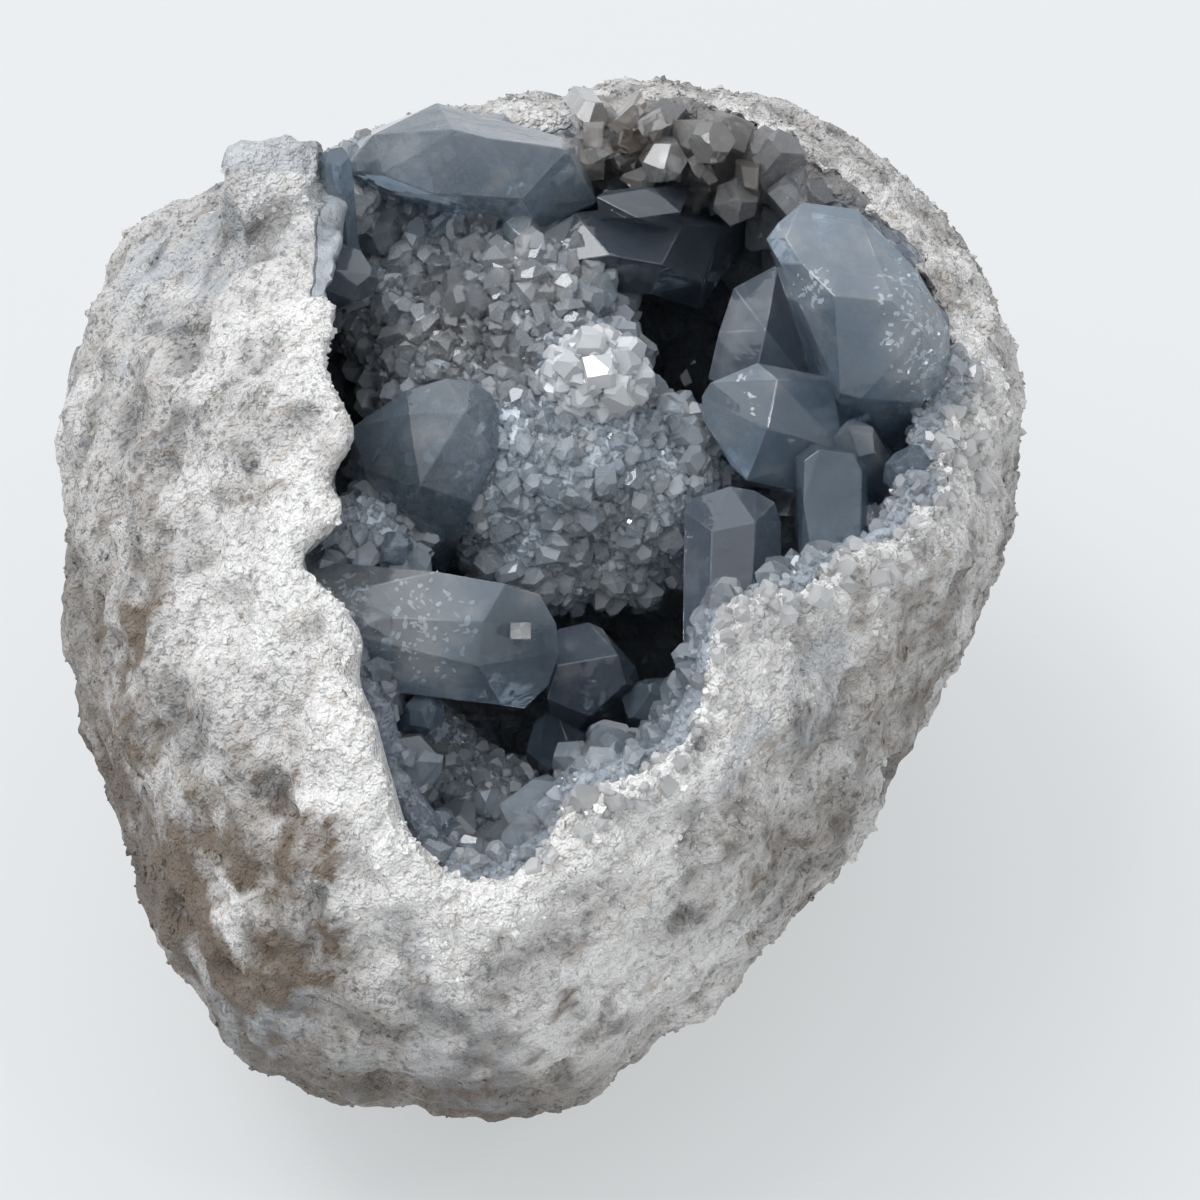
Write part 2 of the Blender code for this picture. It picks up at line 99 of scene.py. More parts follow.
# Large crystals, each as the corners of its flat facets: those nearest the viewer first, then
# the sides, then the root in the wall.
CUT_CRYSTALS = {
    "upper_left": (
        (-8, 45, 19), (-4.5, 44, 20), (2.9, 43.2, 18.6), (-1.4, 38.4, 18), (-10, 39, 17),
        (-15, 41, 16), (-16, 45, 15), (5.7, 38.6, 14), (0.2, 36.2, 13.5), (4.2, 44.4, 14),
        (-10, 48.8, 10), (4, 44, 6), (3, 37, 5), (-12, 39, 4), (-18.6, 46, 5), (-19, 42, 12),
        (-20, 41, 2),
    ),
    "left_middle": (
        (-10.6, 10.5, 31.6), (-11.6, 17.2, 30.4), (-6.4, 17.4, 30.4), (-17.5, 16, 26),
        (-14.7, 17.8, 27), (-12.1, 19.5, 27.4), (-8.4, 20.7, 27), (-6.2, 20.5, 26.6),
        (-4.2, 19.4, 26), (-3.4, 17.6, 26), (-3.5, 13.6, 27), (-5.8, 9, 28), (-6.6, 6.8, 26),
        (-9.6, 4.7, 25), (-12, 8.2, 29), (-15.8, 12, 28), (-18, 4, 8), (-10, 1, 8), (-14, 12, 6),
    ),
    "lower_left": (
        (-9, 2.6, 34), (-2.6, 1.5, 34.6), (-4.6, -2, 36), (-5, -6, 35.6), (-3, -9.6, 33.4),
        (-5.4, -9.3, 33.4), (-15.8, -7, 32.4), (0.5, 0.5, 33), (2, -2.2, 32.6), (2.3, -4.8, 32),
        (1.2, -7.9, 31.6), (-0.9, -10, 31.4), (-9, 2, 26), (0, 0, 26.6), (1, -7, 26),
        (-5, -9, 26), (-16, -6, 26), (-25, 4, 30), (-25, -1, 34.6), (-25, -7, 31), (-25, -2, 24),
    ),
    "top_middle": (
        (1.6, 32.5, 15), (0.4, 35.6, 14), (3.6, 37.6, 13.6), (7, 33.2, 16.2), (12, 32.4, 15.6),
        (14, 36.4, 12.4), (9.6, 38.6, 12), (5, 30.2, 12), (11, 29.8, 12.4), (16, 31, 11),
        (18, 37, 8), (2, 31, 6), (16, 29, 4), (22, 38, 0), (6, 38, 4),
    ),
    "top_blade": (
        (5.6, 38.8, 16.6), (9.6, 36.6, 18), (13.8, 37.3, 17), (11, 39.8, 15.6), (7, 39.6, 15.4),
        (6, 37, 14), (13, 36, 13.6), (15, 41, 8), (8, 41, 8),
    ),
    "right_blue": (
        (21.6, 33.9, 25), (22.7, 35.4, 25.4), (23.3, 33.8, 27.4), (22.8, 31.4, 27),
        (25, 37.4, 24.6), (30.1, 36.7, 25), (32, 34.5, 25.6), (35.8, 30.8, 25.4),
        (38.9, 25.5, 24.4), (39, 20.6, 23), (36.4, 18.6, 23.6), (30.4, 18.8, 26),
        (28.4, 19.3, 26.8), (24.8, 31, 29.4), (27.6, 28, 31), (33, 27.6, 31), (36, 25, 29),
        (36, 13, 6), (29, 16, 8), (39, 20, 9), (34, 32, 15), (26, 34.6, 17),
    ),
    "right_heart": (
        (15.6, 19.2, 23), (16.4, 20.5, 23.4), (20.8, 22.3, 24.6), (22.6, 20.6, 26.2),
        (21.6, 16, 27.2), (19.8, 11.2, 24.8), (18.4, 12.6, 23.6), (15.7, 17, 22.8),
        (28, 21, 22), (29, 14, 23.4), (27, 10, 20), (30, 22, 12), (31, 9, 10), (22, 22, 13),
        (17.2, 19, 14), (19.4, 11.4, 14),
    ),
    "right_dark": (
        (16.5, 21.5, 13), (17.5, 26, 13.6), (19, 30.4, 13), (23.4, 32.8, 12), (27, 33, 8),
        (22, 26, 16.4), (20.6, 20, 15.6), (27, 20, 14), (30, 22, 4), (20, 17, 2), (33, 18, -6),
    ),
    "right_small": (
        (25, 13, 28), (26.4, 14, 28), (29.6, 13.6, 27.6), (30.4, 12, 27.4), (30.3, 4, 27.4),
        (25.8, 3.4, 28), (24.9, 9, 28.3), (24.3, 13.4, 25), (26, 14.8, 24.4), (30.2, 13.9, 24),
        (31.2, 12.6, 24), (31.2, 4, 24), (24.8, 3, 24.4), (25, -1, 13), (30.4, -1, 12),
    ),
    "right_tall": (
        (13.9, 8.4, 25.6), (14.8, 9.6, 25), (18.2, 10.7, 25.4), (20.5, 10.3, 25),
        (22.4, 9.2, 24.6), (23, 7.3, 25), (23, 0, 26), (13.7, -6, 27.4), (16.4, 6.4, 28.6),
        (20.4, 7.2, 28.4), (20, -1.4, 29.6), (16, -5, 30), (15, 8, 18), (22, 8, 17),
        (16, -13, 12), (23, -11, 12), (14.4, -10, 20),
    ),
    "low_middle": (
        (2, -6.2, 23.6), (7.7, -5.2, 22.8), (8.4, -8, 22.4), (5, -11, 22.6), (1, -9.4, 23.2),
        (0.6, -3.4, 20.6), (2.2, -2.7, 20), (4.9, -2.1, 19.6), (6.2, -2.7, 19.8),
        (9.4, -6.4, 19.8), (10, -8.4, 18), (2, -16, 6), (8, -15, 6), (0, -8, 8), (9, -6, 8),
    ),
}

# Plain pointed crystals: root, tip, width, thickness, turn in degrees and how blunt the end is.
PRISMS = {
    "low_right": ((12, -15, 12), (10.6, -8.5, 22.5), 5.6, 4.4, 0, 0.25),
    "low_left": ((2, -18, 9), (1.9, -11.6, 21), 5.8, 5.4, 40, 0.4),
    "low_rim": ((9, -19, 14), (7.6, -13.2, 24.5), 4.2, 3.8, 20, 0.5),
    "low_corner": ((14, -17, 14), (12.3, -11.6, 25), 4.6, 4.0, 60, 0.5),
    "low_edge": ((10, -18, 17), (9.8, -12.7, 26), 3.6, 3.4, 0, 0.5),
    "low_side": ((17, -14, 14), (15.4, -8.6, 25), 4.4, 4.0, 15, 0.45),
    "left_dark": ((-25, 29, 8), (-16.6, 31.8, 20.5), 6.0, 5.6, 10, 0.3),
    "left_low": ((-20, 2, 18), (-12.0, 5.2, 31.4), 3.0, 3.0, 30, 0.3),
    "under_bar": ((-13, -13, 24), (-9.6, -9.8, 33), 3.8, 3.2, 0, 0.25),
    "right_upper": ((34, 10, 14), (29.0, 16.0, 26), 4.4, 4.0, 20, 0.35),
    "right_lower": ((38, 8, 16), (34.0, 13.2, 28), 5.0, 3.6, 0, 0.35),
    "top_grey": ((4, 50, 2), (5.6, 46.2, 15), 3.4, 3.2, 0, 0.5),
    "top_white": ((17, 46, 4), (16.6, 43.6, 20), 4.4, 4.0, 30, 0.3),
    "top_flat": ((11, 46, 2), (12.4, 41.8, 17), 4.6, 3.6, 10, 0.3),
    "top_near": ((20, 40, 2), (19.0, 38.4, 17), 4.8, 4.2, 50, 0.4),
    "top_far": ((22, 46, 2), (22.0, 43.4, 16), 4.6, 4.0, 0, 0.35),
    "top_right": ((27, 42, 2), (25.6, 40.6, 16), 4.2, 3.8, 25, 0.35),
    "ridge_top": ((-2, 38, 4), (-1.6, 35.2, 17), 3.8, 3.4, 0, 0.4),
    "block_side": ((-18.6, 30.5, 11), (-19.2, 43.0, 21.0), 3.0, 2.2, 20, 0.3),
    "pale_square": ((-1.2, -2.8, 32.5), (-1.2, -2.8, 36.4), 2.0, 2.0, 0, 0.1),
    "ridge_right": ((6, 30, 8), (5.4, 29.6, 20), 4.0, 4.2, 20, 0.45),
}
DARK_CRYSTALS = ("right_dark", "low_middle", "top_middle", "left_dark", "right_tall")
BLUE_CRYSTALS = ("right_blue", "right_heart", "right_small")
RUSTY_CRYSTALS = (
    "top_grey", "top_white", "top_flat", "top_near", "top_far", "top_right", "pale_square",
)
LEDGE_CRYSTALS = 64
NOISE_SEED = 1

# Where the large crystals are milky, or dark where the amount is below 0: middle as u and v,
# radius and amount; the milky patch at (-18.3, 0) is a painted glint. Bright flakes lie in the
# milkiest ones.
CLOUDS = (
    # The second patch, at (-18.3, 0), is a painted glint on the rough end of the lower left crystal.
    ((-10.2, -2.4), 5.0, 1.0), ((-18.3, 0.0), 4.0, 0.9), ((-2.1, -5.2), 4.5, -0.7),
    ((-14.0, -7.5), 3.5, -0.6), ((27.6, 33.0), 7.0, 0.35), ((25.8, 29.0), 1.8, 0.8),
    ((34.9, 27.5), 4.5, 0.8), ((35.8, 22.9), 4.0, 0.7), ((29.0, 24.0), 5.0, -0.2),
    ((18.0, 18.0), 4.0, 0.4), ((24.7, 16.4), 4.5, -0.3), ((27.9, 10.8), 4.0, -0.5),
    ((-2.6, 47.5), 7.0, 0.6), ((5.0, 47.5), 6.0, 0.5), ((-3.0, 40.0), 7.0, -0.3),
    ((-14.0, 15.0), 5.0, -0.2), ((-6.0, 20.0), 5.0, 0.3), ((-9.0, 9.0), 5.0, -0.5),
    ((10.0, 33.0), 9.0, -0.8), ((17.0, 6.0), 6.0, -0.2),
)

FLAKE_AMOUNT = 0.7
FLAKES_PER_MM = 20

# Rounded lumps of fine crystals: middle and radius.
LUMPS = (
    ((-8.0, 22.0, 8.0), 9.0), ((-12.0, 29.0, 2.0), 9.0), ((-4.0, 33.0, 4.0), 8.0),
    ((0.0, 27.0, 10.0), 9.0), ((3.0, 21.0, 14.0), 8.0), ((5.5, 20.5, 22.0), 4.5),
    ((-3.0, 12.5, 18.0), 8.5), ((4.5, 14.0, 20.0), 8.0), ((10.0, 11.5, 16.0), 8.5),
    ((0.0, 6.0, 16.0), 7.5), ((7.5, 5.5, 14.0), 6.5), ((13.0, 7.0, 12.0), 6.0),
    ((-16.0, 4.5, 24.0), 6.0), ((-5.0, -22.0, 16.0), 7.5), ((-11.0, -17.0, 14.0), 6.5),
)


# Marks on the front of the rock: middle as u and v, radius, and depth in mm or strength.
STAINS = (
    ((-31, -28), 9.5, 1.6), ((-26, -34), 6.0, 1.0), ((-38.5, -3), 6.5, 1.0), ((-36, -12), 4.0, 0.6),
    ((-24.5, -19.5), 6.0, 0.8), ((-42.5, -17), 8.0, 1.2), ((-5.5, -47), 10.0, 1.1),
    ((5, -32), 4.0, 0.4), ((19, -21.5), 4.0, 0.45), ((22.5, -18), 4.5, 0.45),
    ((31, 0), 4.5, 0.4), ((-20.5, 12.5), 5.0, 0.4), ((37, -8), 7.5, 0.4), ((28, -24), 7.0, 0.35),
    ((-20, -43), 7.0, 0.5), ((36, 33), 6.0, 0.35), ((-38, 12), 4.0, 0.3),
)
BARE_CRYSTAL = (
    ((-34.5, 32.5), 7.0, 0.6), ((-9, -41), 5.5, 0.45), ((-29, -41), 6.0, 0.4),
    ((26, -6), 5.0, 0.45), ((20, -13), 4.0, 0.45), ((-13, -34), 3.5, 0.35), ((-2, -44), 4.5, 0.5),
)
PITS = (
    ((-34.5, 32.5), 6.5, 1.8), ((-32.3, 25.5), 1.8, 1.6), ((-36.7, 17), 2.8, 1.9),
    ((-41, 20.6), 2.6, 1.3), ((-28, -1.5), 2.6, 1.6), ((-19, -38), 3.4, 1.3),
    ((-30, 8), 2.0, 0.9), ((30, 36), 3.0, 1.0), ((10, -38), 4.5, 0.9), ((-25, 20), 2.0, 0.8),
    ((-14, -30), 3.0, 0.8), ((34, -2), 3.0, 0.9),
)

# Stains at the back and below, each with its middle as u, v and w.
BACK_STAINS = (
    ((-30, 10, -40), 14.0, 0.5), ((20, 30, -40), 16.0, 0.4), ((0, -20, -46), 20.0, 0.5),
)


def in_world(point):
    """A point given in face axes and millimetres, in world axes and metres."""
    u, v, w = point
    return (CENTRE + RIGHT * u + UP * v + OUT * w) * MM


class GeodeRockSettings(bpy.types.PropertyGroup):
    grain: FloatProperty(
        name="Mesh grain", description="Width of the rock's mesh faces",
        default=0.00118, min=0.0008, max=0.003, precision=5, unit="LENGTH",
    )
    relief: FloatProperty(
        name="Relief", description="Height of the weathered lumps",
        default=0.0010, max=0.003, precision=5, unit="LENGTH",
    )
    body_colour: FloatVectorProperty(
        name="Body colour", description="Colour of the weathered rock",
        default=(0.43, 0.415, 0.40), subtype="COLOR",
    )
    bloom_colour: FloatVectorProperty(
        name="Bloom colour", description="Colour of the chalky bloom near the mouth",
        default=(0.77, 0.755, 0.735), subtype="COLOR",
    )
    stain_colour: FloatVectorProperty(
        name="Stain colour", description="Colour of the rusty and earthy stains",
        default=(0.15, 0.115, 0.085), subtype="COLOR",
    )


class GeodeCrystalSettings(bpy.types.PropertyGroup):
    colour: FloatVectorProperty(
        name="Colour", description="Body colour of the crystals",
        default=(0.42, 0.53, 0.64), subtype="COLOR",
    )
    veil_colour: FloatVectorProperty(
        name="Veil colour", description="Colour of the cloudy veils in the crystals",
        default=(0.88, 0.93, 0.97), subtype="COLOR",
    )
    edge_width: FloatProperty(
        name="Edge width", description="Width of the bevelled edges of the large crystals",
        default=0.0001, max=0.002, precision=5, unit="LENGTH",
    )


class GeodeDruseSettings(bpy.types.PropertyGroup):
    spacing: FloatProperty(
        name="Spacing", description="Least distance between two small crystals",
        default=0.0017, min=0.0008, max=0.01, precision=5, unit="LENGTH",
    )
    size: FloatProperty(
        name="Size", description="Width of an average small crystal",
        default=0.0026, max=0.01, precision=5, unit="LENGTH",
    )
    seed: IntProperty(name="Seed", description="Which random arrangement is grown", default=4)


class GeodeStageSettings(bpy.types.PropertyGroup):
    floor_colour: FloatVectorProperty(
        name="Table colour", description="Colour of the plain table",
        default=(0.26, 0.26, 0.26), subtype="COLOR",
    )
    key_power: FloatProperty(
        name="Key light", description="Power of the soft light from the upper left",
        default=9.0, unit="POWER",
    )


def deselect():
    if bpy.context.object and bpy.context.object.mode != "OBJECT":
        bpy.ops.object.mode_set(mode="OBJECT")
    bpy.ops.object.select_all(action="DESELECT")


def make_active(obj):
    deselect()
    obj.select_set(True)
    bpy.context.view_layer.objects.active = obj


def edit(obj):
    make_active(obj)
    bpy.ops.object.mode_set(mode="EDIT")
    bpy.ops.mesh.select_all(action="SELECT")


def end_edit():
    bpy.ops.object.mode_set(mode="OBJECT")


def apply_modifier(obj, kind, **values):
    """Adds one modifier to an object, sets it and applies it."""
    make_active(obj)
    modifier = obj.modifiers.new(kind.title(), kind)
    for name, value in values.items():
        setattr(modifier, name, value)
    bpy.ops.object.modifier_apply(modifier=modifier.name)


def join(objects, name):
    """Joins objects into one, with its place in its mesh."""
    deselect()
    for obj in objects:
        obj.select_set(True)
    bpy.context.view_layer.objects.active = objects[0]
    if len(objects) > 1:
        bpy.ops.object.join()
    obj = bpy.context.object
    obj.name = name
    obj.data.name = name
    bpy.ops.object.transform_apply(location=True, rotation=True, scale=True)
    return obj


def finish_piece(obj, node, material, smooth_angle=None):
    """Gives a piece its place in the frame, and its material unless it has its own."""
    if material is not None:
        obj.data.materials.clear()
        obj.data.materials.append(material)
    if smooth_angle is not None:
        make_active(obj)
        bpy.ops.object.shade_smooth_by_angle(angle=math.radians(smooth_angle))
    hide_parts(node)
    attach(obj, "root")


def corner_array(mesh):
    points = np.empty(len(mesh.vertices) * 3, dtype=np.float32)
    mesh.vertices.foreach_get("co", points)
    return points.reshape(-1, 3)


def normal_array(mesh):
    normals = np.empty(len(mesh.vertices) * 3, dtype=np.float32)
    mesh.vertices.foreach_get("normal", normals)
    return normals.reshape(-1, 3)


def set_corners(mesh, points):
    mesh.vertices.foreach_set("co", np.asarray(points, dtype=np.float32).ravel())
    mesh.update()


def store_masks(mesh, **masks):
    """Keeps numbers for each corner of a mesh, for its material or its scatter."""
    for name, values in masks.items():
        attribute = mesh.attributes.new(name, "FLOAT", "POINT")
        numbers = np.broadcast_to(np.asarray(values, dtype=np.float32), len(mesh.vertices))
        attribute.data.foreach_set("value", np.ascontiguousarray(numbers))


def face_coordinates(points):
    """World points in metres as arrays of u, v and w in millimetres."""
    offset = np.asarray(points, dtype=np.float64) / MM - np.array(CENTRE)
    return offset @ np.array(RIGHT), offset @ np.array(UP), offset @ np.array(OUT)


def outline_radius(angle):
    """The nodule's half breadth at each angle across the open face."""
    count = len(OUTLINE_RADII)
    places = np.arange(count + 1) * math.tau / count
    return np.interp(np.mod(angle, math.tau), places, OUTLINE_RADII + OUTLINE_RADII[:1])


def skin_depth(u, v, w):
    """How deep below the nodule's plain skin points lie, roughly, in millimetres."""
    half_up = math.hypot(HALF_SIZES.y * UP.y, HALF_SIZES.z * UP.z)
    angle = np.arctan2(v, u)
    plain = 1 / np.hypot(np.cos(angle) / HALF_SIZES.x, np.sin(angle) / half_up)
    swell = outline_radius(angle) / plain
    flat_u, flat_v = u / swell, v / swell
    y = flat_v * UP.y + w * OUT.y
    z = flat_v * UP.z + w * OUT.z
    size = np.sqrt((flat_u / HALF_SIZES.x) ** 2 + (y / HALF_SIZES.y) ** 2 + (z / HALF_SIZES.z) ** 2)
    return (1 - size) * np.sqrt(u * u + v * v + w * w) / np.maximum(size, 0.05)


def mouth_share(u, v, w):
    """How far out points lie in the mouth's cross-section: 0 in its middle, 1 at its edge."""
    taper = (CONE_POINT_W - w) / (CONE_POINT_W - MOUTH_LEVEL)
    level_u = CONE_POINT_U + (u - CONE_POINT_U) / taper - MOUTH_MIDDLE[0]
    level_v = v / taper - MOUTH_MIDDLE[1]
    edge = np.array(MOUTH) - np.array(MOUTH_MIDDLE)
    steps = np.linspace(0, 1, 24, endpoint=False)[:, None]
    fine = np.concatenate([
        start + (end - start) * steps for start, end in zip(edge, np.roll(edge, -1, axis=0))
    ])
    angles = np.arctan2(fine[:, 1], fine[:, 0])
    order = np.argsort(angles)
    reach = np.interp(
        np.arctan2(level_v, level_u), angles[order], np.hypot(fine[:, 0], fine[:, 1])[order],
        period=math.tau,
    )
    return np.hypot(level_u, level_v) / reach


def in_room(u, v, w):
    """Whether points lie in the hollow or in the mouth."""
    inside = (mouth_share(u, v, w) < 1) & (w > MOUTH_FLOOR)
    for (mu, mv, mw), (hu, hv, hw) in LOBES:
        inside |= ((u - mu) / hu) ** 2 + ((v - mv) / hv) ** 2 + ((w - mw) / hw) ** 2 < 1
    return inside


def wall_distance(directions):
    """How far the hollow's wall is from HOLLOW_MIDDLE in each direction, in millimetres."""
    reach = np.full(len(directions), 4.0)
    open_way = np.ones(len(directions), dtype=bool)
    for step in np.arange(4.0, 90.0, 0.5):
        points = np.array(HOLLOW_MIDDLE) + directions * step
        open_way &= in_room(points[:, 0], points[:, 1], points[:, 2])
        reach[open_way] = step
    return reach


def fractal(point, octaves=3):
    return noise.fractal(point, 1.0, 2.1, octaves)


# Materials


def feed(tree, socket, value):
    """Links a socket to another one, or sets its own value."""
    if isinstance(value, bpy.types.NodeSocket):
        tree.links.new(value, socket)
    elif socket.type == "RGBA" and len(value) == 3:
        socket.default_value = (*value, 1.0)
    else:
        socket.default_value = value


def add_node(tree, kind, fill=None, **choices):
    """Adds a node, sets its choices and feeds its sockets."""
    node = tree.nodes.new(kind)
    for label, value in choices.items():
        setattr(node, label, value)
    for label, value in (fill or {}).items():
        feed(tree, node.inputs[label], value)
    return node


def add_math(tree, operation, *values, clamp=False):
    fill = dict(enumerate(values))
    return add_node(tree, "ShaderNodeMath", fill, operation=operation, use_clamp=clamp).outputs[0]


def node_group(name, numbers, output):
    """A shader node group on a vector and some numbers, and what it is given."""
    group = bpy.data.node_groups.new(name, "ShaderNodeTree")
    group.interface.new_socket("Vector", in_out="INPUT", socket_type="NodeSocketVector")
    for label, default in numbers.items():
        socket = group.interface.new_socket(label, in_out="INPUT", socket_type="NodeSocketFloat")
        socket.default_value = default
    group.interface.new_socket(output, in_out="OUTPUT", socket_type="NodeSocketFloat")
    return group, group.nodes.new("NodeGroupInput").outputs


def build_speckle_group():
    """Small blotches on Object coordinates: size in metres, share covered and softness."""
    numbers = {"Size": 0.001, "Cover": 0.3, "Softness": 0.08, "Detail": 3.0}
    group, given = node_group("speckle", numbers, "Mask")
    scale = add_math(group, "DIVIDE", 1.0, given["Size"])
    texture = add_node(group, "ShaderNodeTexNoise", {
        "Vector": given["Vector"], "Scale": scale, "Detail": given["Detail"],
    })
    level = add_math(group, "MULTIPLY_ADD", given["Cover"], -0.5, 0.75)
    ramp = add_node(group, "ShaderNodeMapRange", {
        "Value": texture.outputs["Fac"], "From Min": level,
        "From Max": add_math(group, "ADD", level, given["Softness"]),
    })
    add_node(group, "NodeGroupOutput", {"Mask": ramp.outputs["Result"]})


def build_grain_group():
    """Crumbly height on Object coordinates, made of a few sizes of grain."""
    group, given = node_group("grain", {"Size": 0.001}, "Height")
    coarse = add_node(group, "ShaderNodeTexNoise", {
        "Vector": given["Vector"], "Scale": add_math(group, "DIVIDE", 1.0, given["Size"]),
        "Detail": 2.0, "Roughness": 0.75,
    })
    add_node(group, "NodeGroupOutput", {"Height": coarse.outputs["Fac"]})


class Shader:
    """A material being built: its node tree, its Principled BSDF and its Object coordinates."""

    def __init__(self, name, **values):
        self.material = bpy.data.materials.new(name)
        self.material.use_nodes = True
        self.tree = self.material.node_tree
        self.surface = self.tree.nodes["Principled BSDF"]
        for label, value in values.items():
            self.surface.inputs[label.replace("_", " ")].default_value = value
        self.place = self.node("ShaderNodeTexCoord", "Object")

    def node(self, kind, output, fill=None, **choices):
        return add_node(self.tree, kind, fill, **choices).outputs[output]

    def speckle(self, size, cover, softness, detail=3.0, place=None):
        """Blotches of a size in metres, on Object coordinates unless other ones are given."""
        fill = {
            "Vector": self.place if place is None else place, "Size": size, "Cover": cover,
            "Softness": softness, "Detail": detail,
        }
        group = bpy.data.node_groups["speckle"]
        return self.node("ShaderNodeGroup", "Mask", fill, node_tree=group)

    def grain(self, size):
        fill = {"Vector": self.place, "Size": size}
        return self.node("ShaderNodeGroup", "Height", fill, node_tree=bpy.data.node_groups["grain"])

    def mix(self, factor, first, second, blend="MIX"):
        fill = {"Factor": factor, 6: first, 7: second}
        return self.node("ShaderNodeMix", 2, fill, data_type="RGBA", blend_type=blend)

    def math(self, operation, *values, clamp=False):
        return add_math(self.tree, operation, *values, clamp=clamp)

    def spread(self, value, low, high, to_low=0.0, to_high=1.0):
        return self.node("ShaderNodeMapRange", "Result", {
            "Value": value, "From Min": low, "From Max": high, "To Min": to_low, "To Max": to_high,
        })

    def mask(self, name):
        return self.node("ShaderNodeAttribute", "Fac", attribute_name=name)

    def shade(self, colour, mask, low, high, from_low=0.0, from_high=1.0):
        """Makes a colour darker or lighter where a mask of the piece says so."""
        tone = self.spread(self.mask(mask), from_low, from_high, low, high)
        return self.mix(1.0, colour, tone, "MULTIPLY")

    def stretch(self, along, across, slant):
        """Object coordinates drawn out along a line that slants across the front."""
        turn = Matrix.Rotation(FACE_TILT, 3, "X") @ Matrix.Rotation(math.radians(slant), 3, "Z")
        return self.node("ShaderNodeMapping", "Vector", {
            "Vector": self.place, "Rotation": turn.to_euler(), "Scale": (along, across, across),
        }, vector_type="TEXTURE")

    def finish(self, colour, roughness=None, height=None, distance=0.0):
        """Feeds the surface, with a bump of the height where there is one."""
        feed(self.tree, self.surface.inputs["Base Color"], colour)
        if roughness is not None:
            feed(self.tree, self.surface.inputs["Roughness"], roughness)
        if height is not None:
            normal = self.node("ShaderNodeBump", "Normal", {
                "Distance": distance, "Strength": 1.0, "Height": height,
            })
            feed(self.tree, self.surface.inputs["Normal"], normal)
        return self.material


def rock_material(rock):
    """Weathered granular rock: white bloom, grey body, dark specks, rusty and earthy stains, and
    painted shade below.
    """
    shader = Shader("weathered_rock")
    crystal = shader.mask("crystal")
    mottle = shader.speckle(0.0045, 0.52, 0.22, 6.0)
    body = shader.mix(mottle, tuple(rock.body_colour), tuple(c * 0.5 for c in rock.body_colour))
    uneven = shader.math("ADD", shader.mask("bloom"), shader.math("MULTIPLY", mottle, -0.5))
    cover = shader.spread(uneven, -0.15, 0.7)
    colour = shader.mix(cover, body, tuple(rock.bloom_colour))
    specks = shader.speckle(0.0009, 0.45, 0.16)
    keep = shader.spread(cover, 0.0, 1.0, 0.85, 0.3)
    colour = shader.mix(shader.math("MULTIPLY", specks, keep), colour, (0.10, 0.105, 0.115))
    streaks = shader.speckle(0.0016, 0.42, 0.2, place=shader.stretch(2.6, 0.7, 38))
    colour = shader.mix(shader.math("MULTIPLY", streaks, 0.45), colour, (0.33, 0.26, 0.19))
    colour = shader.shade(colour, "tone", 1.0, 1.18)
    earth = shader.spread(streaks, 0.0, 1.0, 0.95, 2.0)
    earth = shader.math("MULTIPLY", earth, shader.mask("stain"), clamp=True)
    colour = shader.mix(earth, colour, tuple(rock.stain_colour))
    # Painted shade: dark brownish grey on the underside and near the table.
    shade = shader.math("MULTIPLY", shader.mask("shade"), 0.75)
    colour = shader.mix(shade, colour, (0.15, 0.13, 0.11))
    bare = shader.mix(mottle, (0.33, 0.36, 0.39), (0.13, 0.145, 0.165))
    colour = shader.mix(crystal, colour, bare)
    calm = shader.spread(crystal, 0.5, 1.0, 1.0, 0.15)
    height = shader.math("MULTIPLY", shader.grain(0.0010), calm)
    return shader.finish(colour, shader.spread(crystal, 0.0, 1.0, 0.85, 0.3), height, 0.0012)


# Celestite by its material's name: colour, veil colour, share of veils, transmission, absorption
# density and roughness.
CELESTITE = {
    "blue_celestite": ((0.44, 0.58, 0.72), (0.86, 0.93, 0.99), 0.45, 0.78, 20.0, 0.03),
    "dark_celestite": ((0.36, 0.43, 0.53), (0.74, 0.80, 0.88), 0.4, 0.78, 26.0, 0.04),
    "rusty_celestite": ((0.60, 0.58, 0.56), (0.92, 0.91, 0.90), 0.5, 0.76, 0.0, 0.06),
    # The bevelled edges of the large crystals take a rougher, less see-through celestite: a painted
    # edge highlight.
    "pale_edges": ((0.30, 0.38, 0.46), (0.90, 0.94, 0.98), 0.42, 0.7, 0.0, 0.1),
    "small_celestite": ((0.70, 0.78, 0.86), (0.93, 0.95, 0.98), 0.5, 0.78, 0.0, 0.04),
    "fine_celestite": ((0.74, 0.81, 0.88), (0.94, 0.96, 0.98), 0.5, 0.70, 0.0, 0.04),
    "rim_celestite": ((0.90, 0.90, 0.90), (1.0, 1.0, 0.99), 0.5, 0.6, 0.0, 0.07),
    "white_celestite": ((0.92, 0.94, 0.96), (1.0, 1.0, 1.0), 0.5, 0.42, 0.0, 0.05),
}
ABSORPTION_COLOUR = (0.40, 0.56, 0.70)


